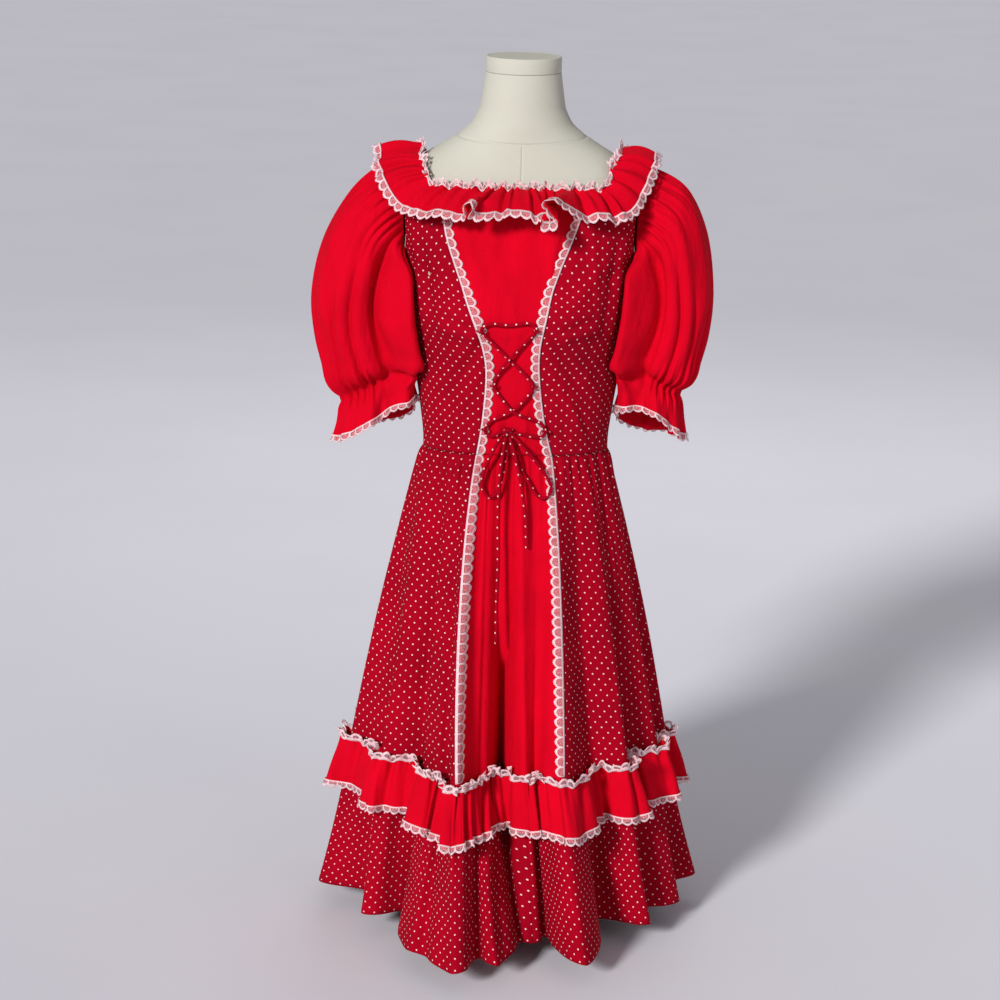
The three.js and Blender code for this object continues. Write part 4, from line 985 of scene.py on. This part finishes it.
def sleeve_wave(share, v):
    turn = 2 * math.pi * share
    cap = (np.sin(27 * turn + 1.8 * np.sin(4 * turn)) + 0.5 * np.sin(43 * turn)) * 2.2 * hump(v, 0.95, 1.0)
    folds = 0.0
    for middle, width, height, start, stop in LONG_FOLDS:
        wander = middle + 0.006 * np.sin(1.3 * v + 20 * middle)
        aside = (share - wander + 0.5) % 1 - 0.5
        ends = ease((v - start) / 1.6) * ease((stop - v) / 1.2)
        folds = folds + height * hump(aside, 0, width) * ends
    coarse = np.sin(26 * turn + 1.5 * np.sin(3 * turn)) * 2.6
    fine = np.sin(44 * turn + 2 * np.sin(5 * turn)) * 1.8
    shirring = (coarse + fine) * hump(v, ELASTIC, 0.75)
    flare = ease((v - 7.2) / 1.8)
    cuff = (np.sin(9 * turn + 1.1 * np.sin(2 * turn)) * 4.6 + np.sin(17 * turn + 1) * 1.8) * flare
    stitching = hump(v, 6.86, 0.05) + hump(v, 7.06, 0.05)
    drawn_in = 4.5 * hump(v, 6.25, 0.45) - 6.5 * hump(v, ELASTIC, 0.3) - 0.9 * stitching
    return cap + folds + shirring + cuff + drawn_in


for side, sign in SIDES:
    u, v = np.meshgrid(steps(0, 1, 264)[:-1], steps(0, SLEEVE_RINGS, 84))
    lift = sleeve_wave((-sign * u) % 1, v) * ease(v / 0.4)
    sleeve_points = pushed_out(sleeve_surface(side, sign), u, v, lift)
    sleeve = cloth(f"puffed_sleeve_{side}", sleeve_points, plain_cotton, closed=True)
    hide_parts(f"sleeve_{side}")

# %% [markdown]
# ## Lace
# One repeat of the lace is drawn once: a straight top bar, a half-moon window of net and a scalloped
# lower edge with picots. It is then set side by side along each line of trimming, by true length, so
# the repeats keep their size round corners and over waves. It is copied as geometry, because the
# windows and the scallops are shapes, not a print.

# %% One repeat of the lace
PITCH = 13.5


def lace_repeat():
    top = [(x, 0.0) for x in np.linspace(-0.5, 0.5, 6)]
    arc = np.linspace(0.5, -0.5, 11)
    scallop = [(x, 0.66 + 0.3 * math.cos(math.pi * x) + (0.05 if k % 2 else 0)) for k, x in enumerate(arc)]
    outer = top + [(0.5, 0.24), (0.5, 0.48)] + scallop + [(-0.5, 0.48), (-0.5, 0.24)]
    inner = [(x, 0.17) for x in np.linspace(-0.38, 0.38, 6)] + [(0.43, 0.21), (0.43, 0.3)]
    inner += [(0.42 * math.cos(turn), 0.36 + 0.4 * math.sin(turn)) for turn in np.linspace(0, math.pi, 11)]
    inner += [(-0.43, 0.3), (-0.43, 0.21)]
    return np.array(outer + inner + [(0, 0.42)])


REPEAT = lace_repeat()
RING = (len(REPEAT) - 1) // 2


def lace(name, node, position, start, stop, width, flip=False,
         share=1.0, pitch=PITCH):
    """share: how large the windows are. Gathered headings look denser, so theirs are smaller."""
    repeat_shape = REPEAT.copy()
    repeat_shape[RING:] = REPEAT[-1] + (REPEAT[RING:] - REPEAT[-1]) * share
    fine = steps(start, stop, 4000)
    line = position(fine, np.full(fine.shape, 0.4 * width))
    lengths = np.linalg.norm(np.diff(line, axis=0), axis=-1)
    run = np.concatenate([[0], np.cumsum(lengths)])
    count = max(1, round(run[-1] / pitch))
    along = (np.arange(count)[:, None] + 0.5 + repeat_shape[None, :, 0]) * run[-1] / count
    across = np.broadcast_to(repeat_shape[None, :, 1] * width, along.shape)
    points = position(np.interp(along, run, fine), across)
    per = len(REPEAT)
    k = np.arange(RING)
    following = (k + 1) % RING
    thread = np.stack([k, following, following + RING, k + RING], -1)
    net = np.stack([k + RING, following + RING, np.full(RING, per - 1)], -1)
    if flip:
        thread, net = thread[:, ::-1], net[:, ::-1]
    faces, uvs, kinds = [], [], []
    for repeat in range(count):
        flat = np.stack([along[repeat], -across[repeat]], -1) * MM
        for face in thread.tolist():
            faces.append([repeat * per + corner for corner in face])
            uvs.extend(flat[face])
            kinds.append(0)
        for face in net.tolist():
            faces.append([repeat * per + corner for corner in face])
            uvs.extend(flat[face])
            kinds.append(1)
    piece = new_object(name, points.reshape(-1, 3) * MM, faces, uvs, [lace_thread, lace_net], kinds)
    bpy.ops.object.select_all(action="DESELECT")
    piece.select_set(True)
    bpy.context.view_layer.objects.active = piece
    bpy.ops.object.mode_set(mode="EDIT")
    bpy.ops.mesh.select_all(action="SELECT")
    bpy.ops.mesh.remove_doubles(threshold=0.00005)
    bpy.ops.object.mode_set(mode="OBJECT")
    wall = piece.modifiers.new("wall", "SOLIDIFY")
    wall.thickness = 0.5 * MM
    wall.offset = 0
    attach(piece, "root")
    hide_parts(node)
    return piece


print("points in a repeat:", len(REPEAT))

# %% Lace bands over the princess lines and down the skirt
LACE_WALL = 1.2
LAID = 0.9
BAND_WIDTH = 12.5
for side, sign in SIDES:
    def on_bodice_line(z, across, side=side, sign=sign):
        x = princess_x(side, z) - sign * across
        out = bodice_middle(z) + WALL / 2 + LAID
        return on_figure(angle_at_x(x, z), z, out)

    lace(f"lace_band_bodice_{side}", f"bodice_band_{side}", on_bodice_line, 1036, WAIST_Z + 7.2,
         BAND_WIDTH, flip=sign < 0)

    line = LEFT_LINE if side == "left" else RIGHT_LINE

    def on_skirt_line(down, across, line=line, sign=sign):
        near = on_skirt(np.full(down.shape, float(line)), down)
        beside = on_skirt(np.full(down.shape, line - sign * 0.15), down)
        per_place = np.linalg.norm(near - beside, axis=-1) / 0.15
        place = line - sign * across / per_place
        return pushed_out(on_skirt, place, down, skirt_lift(place, down) + WALL / 2 + 0.5)

    lace(f"lace_band_skirt_{side}", f"skirt_band_{side}", on_skirt_line, 0.001, 0.972, BAND_WIDTH,
         flip=sign < 0)

# %% Lace on the ruffles and the cuffs
ON_TOP = RUFFLE_WALL / 2 + 1.1 + LACE_WALL / 2
NECK_RUFFLE_DEPTH = 58
TIER_LAP = 3  # how far each lace laps over the cloth it is sewn to
NECK_LAP = 2.5
CUFF_LAP = 8.5
CUFF_RING = 30  # from ring to ring at the cuff


def edging(surface, wave, depth, lap, reach):
    def position(u, across):
        v = 1 + (across - lap) / depth
        return pushed_out(surface, u, v, wave(u, v) + ON_TOP)

    return position, lap + reach


position, width = edging(on_tier_ruffle, tier_wave, RUFFLE_DEPTH, 6, 5)
lace("lace_edging_tier", "tier_edging_lace", position, 0, len(FOLDS), width, flip=True)
position, width = edging(on_neck_ruffle, neck_wave, NECK_RUFFLE_DEPTH, 6.5, 4)
lace("lace_edging_neck", "neck_edging_lace", position, 0, len(NECK), width, flip=True)


def on_tier_heading(place, across):
    v = (TIER_LAP - across) / RUFFLE_DEPTH
    turn = 2 * math.pi * place / len(FOLDS)
    flop = np.sin(83 * turn + 2.2 * np.sin(9 * turn) + 1) + 0.45 * np.sin(131 * turn + 1)
    tilt = np.radians(34 + 18 * flop)
    free = np.maximum(0, across - TIER_LAP)
    v = np.where(across < TIER_LAP, v, -free * np.cos(tilt) / RUFFLE_DEPTH)
    wave = tier_wave(place, np.maximum(v, 0)) * (1 - 0.3 * ease(free / 12))
    out = ON_TOP + 0.6 + wave + free * np.sin(tilt)
    return pushed_out(on_tier_ruffle, place, v, out)


lace("lace_heading_tier", "tier_heading_lace", on_tier_heading, 0, len(FOLDS), 12.5,
     share=0.8)


def on_neck_heading(place, across):
    turn = 2 * math.pi * place / len(NECK)
    inwards = 60 * (hump(place, 4.7, 1.0) + hump(place, 13.3, 1.0))
    tilt = np.radians(26 - inwards + 6 * np.sin(33 * turn + 1.8 * np.sin(5 * turn) + 2))
    free = np.maximum(0, across - NECK_LAP)
    lapped = np.maximum(0, NECK_LAP - across)

    def surface(u, v):
        return neckline(u) + point(0, 0, -v)

    out = ON_TOP + 0.7 * lapped + free * np.sin(tilt) + neck_wave(place, 0 * place)
    return pushed_out(surface, place, 0.7 * lapped - free * np.cos(tilt) - neck_meander(place), out)


lace("lace_heading_neck", "neck_heading_lace", on_neck_heading, 0, len(NECK), 13,
     share=0.85, pitch=8.5)
for side, sign in SIDES:
    cuff = sleeve_surface(side, sign)

    def on_cuff(u, across, cuff=cuff, sign=sign):
        v = SLEEVE_RINGS + (across - CUFF_LAP) / CUFF_RING
        return pushed_out(cuff, u, v, sleeve_wave((-sign * u) % 1, v) + ON_TOP)

    lace(f"lace_edging_cuff_{side}", f"cuff_lace_{side}", on_cuff, 0, 1, 12, flip=True)

# %% [markdown]
# ## The laced front
# One covered cord runs through six fine loops and is tied in a bow. The cord is a tube of dotted
# cloth, so its flat map runs along and round it. A cord is a sweep: rings of points are carried along
# a smooth line without twisting. The two tails hang free.

# %% Cords
CORD_RADIUS = 2.3


def smooth_line(route, spacing=1.2):
    route = np.asarray(route, float)
    chords = np.sqrt(np.linalg.norm(np.diff(route, axis=0), axis=-1))
    knots = np.concatenate([[0], np.cumsum(chords)])
    fine = np.linspace(0, knots[-1], 60 * len(route))
    place = np.interp(fine, knots, np.arange(len(route)))
    line = np.stack([smooth(route[:, axis], place) for axis in range(3)], -1)
    run = np.concatenate([[0], np.cumsum(np.linalg.norm(np.diff(line, axis=0), axis=-1))])
    even = np.linspace(0, run[-1], max(4, int(run[-1] / spacing)))
    return np.stack([np.interp(even, run, line[:, axis]) for axis in range(3)], -1), float(run[-1])


def cord_mesh(name, routes, radius, material, sides=14):
    """A tube along each route, with rounded ends. A list of routes makes one piece."""
    vertices, faces, uvs = [], [], []
    for route in routes:
        line, length = smooth_line(route, 0.6 * radius if radius < 2 else 1.2)
        tangents = np.gradient(line, axis=0)
        tangents /= np.linalg.norm(tangents, axis=-1, keepdims=True)
        side = Vector(tangents[0]).orthogonal().normalized()
        rings, stations = [], []
        caps = [(-math.cos(a), math.sin(a)) for a in (0.25, 0.7, 1.15)]
        for k in range(len(line)):
            tangent = Vector(tangents[k])
            side = (side - tangent * side.dot(tangent)).normalized()
            other = tangent.cross(side)
            here = Vector(line[k])
            ends = [(0, 1)]
            if k == 0:
                ends = caps + ends
            if k == len(line) - 1:
                ends = ends + [(-along, size) for along, size in reversed(caps)]
            for along, size in ends:
                turns = np.linspace(0, 2 * math.pi, sides, endpoint=False)
                centre = here + tangent * (along * radius)
                reach = radius * size
                rings.append([centre + (side * math.cos(t) + other * math.sin(t)) * reach for t in turns])
                stations.append(length * k / (len(line) - 1) + along * radius)
        base = len(vertices)
        for ring in rings:
            vertices.extend(tuple(corner) for corner in ring)
        for r in range(len(rings) - 1):
            for s in range(sides):
                following = (s + 1) % sides
                faces.append([base + r * sides + s, base + r * sides + following,
                              base + (r + 1) * sides + following, base + (r + 1) * sides + s])
                around = 2 * math.pi * radius / sides
                uvs += [(stations[r], s * around), (stations[r], (s + 1) * around),
                        (stations[r + 1], (s + 1) * around), (stations[r + 1], s * around)]
        faces.append([base + s for s in range(sides)][::-1])
        faces.append([base + (len(rings) - 1) * sides + s for s in range(sides)])
        uvs += [(0, 0)] * (2 * sides)
    piece = new_object(name, np.array(vertices) * MM, faces, np.array(uvs) * MM, [material])
    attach(piece, "root")
    print(f"{name}: {len(faces)} faces")
    return piece


def on_bodice(x, z, out):
    return on_figure(angle_at_x(x, z), z, bodice_middle(z) + WALL / 2 + out)


CORD_OUT = LAID + LACE_WALL + LAID / 2 + CORD_RADIUS
OVER = 5.4
LACING = np.array([  # x, z and how far out over another strand
    (-19.6, 727, 0), (-31, 721, 0), (-39, 723, 0), (-41, 731, 0), (-33, 742, 0), (-4, 758, 0),
    (14, 777, 0), (22, 793, 0), (12, 808, 0), (-13, 832, 0), (-36, 857, 0), (-47, 871, 0),
    (-38, 879, 0), (-13, 877, 0), (12, 880, 0), (22, 878, 0), (25, 870, 0), (13, 857, 0),
    (-13, 832, OVER), (-26, 809, 0), (-31, 793, 0), (-22, 777, 0), (-4, 758, OVER), (30, 742, 0),
    (39, 731, 0), (37, 723, 0), (28, 721, 0), (-2.4, 727, 0),
])
lacing_route = on_bodice(LACING[:, 0], LACING[:, 1], CORD_OUT + LACING[:, 2])
lacing = cord_mesh("lacing", [lacing_route], CORD_RADIUS, dotted_cord)
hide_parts("lacing_cord")

# %% Loops, knot and bow
LOOPS = (("top_left", -47, 871), ("top_right", 25.3, 871), ("middle_left", -31, 793),
         ("middle_right", 22.7, 793), ("low_left", -41, 730), ("low_right", 39.3, 730))
LOOP_RADIUS = 1.0
bend = CORD_RADIUS + 1.5 + LOOP_RADIUS
turns = np.radians(np.linspace(-100, 100, 9))
for name, x, z in LOOPS:
    arch = on_bodice(x + bend * np.sin(turns), np.full(9, float(z)), CORD_OUT + bend * np.cos(turns))
    loop = cord_mesh(f"loop_{name}", [arch], LOOP_RADIUS, dotted_cord, 8)
    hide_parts(f"lacing_loop_{name}")

KNOT = np.array([-11, -104, 727])
around = np.linspace(0, 2 * math.pi, 13)
wrap = KNOT + point(5.4 * np.cos(around) + 0.8 * np.sin(around), 4.2 * np.sin(around),
                    3.2 * np.cos(around + 1.2))
inner_pass = KNOT + np.array([
    (-5.6, 0.5, -3.6), (-3, -1.5, -1.5), (0, -2.4, 1.8), (3, -1.5, 3.8), (5.4, 0.5, 3.4),
])
cross_pass = KNOT + np.array([
    (5.2, 1, -4.4), (2.4, -0.6, -3.6), (-0.8, -1.4, -2), (-3.4, 0, 2.6), (-5.2, 1.5, 4.6),
])
core = KNOT + np.array([(0, 0.6, -4.4), (0, 0.6, 0), (0, 0.6, 4.4)])
knot = cord_mesh("knot", [wrap, inner_pass, cross_pass, core], CORD_RADIUS, dotted_cord)
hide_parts("bow_knot")
BOW = {
    "left": [(-18.7, -105.5, 721.4), (-30, -108, 702), (-41, -106, 674), (-44, -106, 652), (-35, -106, 637),
             (-24, -106, 643), (-17, -106, 668), (-14, -103, 695), (-14, -101.5, 718.2)],
    "right": [(-3.8, -105.5, 721.8), (12, -108, 706), (35, -106, 678), (49, -106, 652), (42, -107, 638),
              (30, -107, 641), (15, -106, 664), (-2, -103, 692), (-8, -101.5, 718.2)],
}
TAILS = {
    "left": [(-14, -107.3, 719.2), (-18, -112, 690), (-21, -115, 650), (-21, -117, 600), (-20, -123, 550),
             (-21, -130, 500), (-21, -136, 441)],
    "right": [(-8, -107.3, 719.2), (1, -112, 690), (10, -115, 650), (16, -116, 610), (18, -118, 571)],
}
for side, _ in SIDES:
    loop = cord_mesh(f"bow_loop_{side}_cord", [BOW[side]], CORD_RADIUS, dotted_cord)
    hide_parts(f"bow_loop_{side}")
    tail = cord_mesh(f"tail_{side}", [TAILS[side]], CORD_RADIUS, dotted_cord)
    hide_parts(f"cord_tail_{side}")
    line, length = smooth_line(TAILS[side])
    print(f"tail {side}: {length:.0f} mm")

# %% [markdown]
# ## Studio
# The key light is a soft sun from the front left. Two weak area lights, in front on the right and
# behind, a plain pale floor and a pale surrounding keep the shadows in the folds soft. The lights
# stand still when the camera moves.

# %% Floor and lights
bpy.ops.object.select_all(action="DESELECT")
bpy.ops.mesh.primitive_plane_add(size=120, location=(0, 0, 0))
floor = bpy.context.object
floor.name = "floor"
floor_paint, tree, shader = make_material("floor_paint", (0.6, 0.6, 0.64), 0.9)
place = add_node(tree, "ShaderNodeTexCoord").outputs["Object"]
cloudy = add_node(tree, "ShaderNodeTexNoise", Vector=place, Scale=2.0, Detail=2.0).outputs["Fac"]
tint = blend_colours(tree, cloudy, (0.7, 0.69, 0.75, 1), (0.76, 0.74, 0.78, 1))
tree.links.new(tint, shader.inputs["Base Color"])
floor.data.materials.append(floor_paint)


MIDDLE = Vector((0, 0, 0.65))


def soft_light(name, place, size, power):
    light = bpy.data.lights.new(name, "AREA")
    light.size = size
    light.energy = power
    lamp = bpy.data.objects.new(name, light)
    turn = (MIDDLE - Vector(place)).to_track_quat("-Z", "Y").to_matrix().to_4x4()
    lamp.matrix_world = Matrix.Translation(place) @ turn
    scene.collection.objects.link(lamp)


def soft_sun(name, direction, strength, spread):
    light = bpy.data.lights.new(name, "SUN")
    light.energy = strength
    light.angle = math.radians(spread)
    lamp = bpy.data.objects.new(name, light)
    lamp.matrix_world = Vector(direction).to_track_quat("-Z", "Y").to_matrix().to_4x4()
    scene.collection.objects.link(lamp)


soft_sun("key_light", (0.48, 0.84, -0.44), 3.3, 10)
soft_light("fill_light", (2.4, -2.8, 1.5), 2.0, 14)
soft_light("back_light", (0.4, 3.0, 2.6), 2.0, 22)
world = bpy.data.worlds.new("studio")
world.use_nodes = True
world.node_tree.nodes["Background"].inputs["Color"].default_value = (0.93, 0.94, 1.0, 1)
world.node_tree.nodes["Background"].inputs["Strength"].default_value = 0.27
scene.world = world
scene.view_settings.view_transform = "Standard"
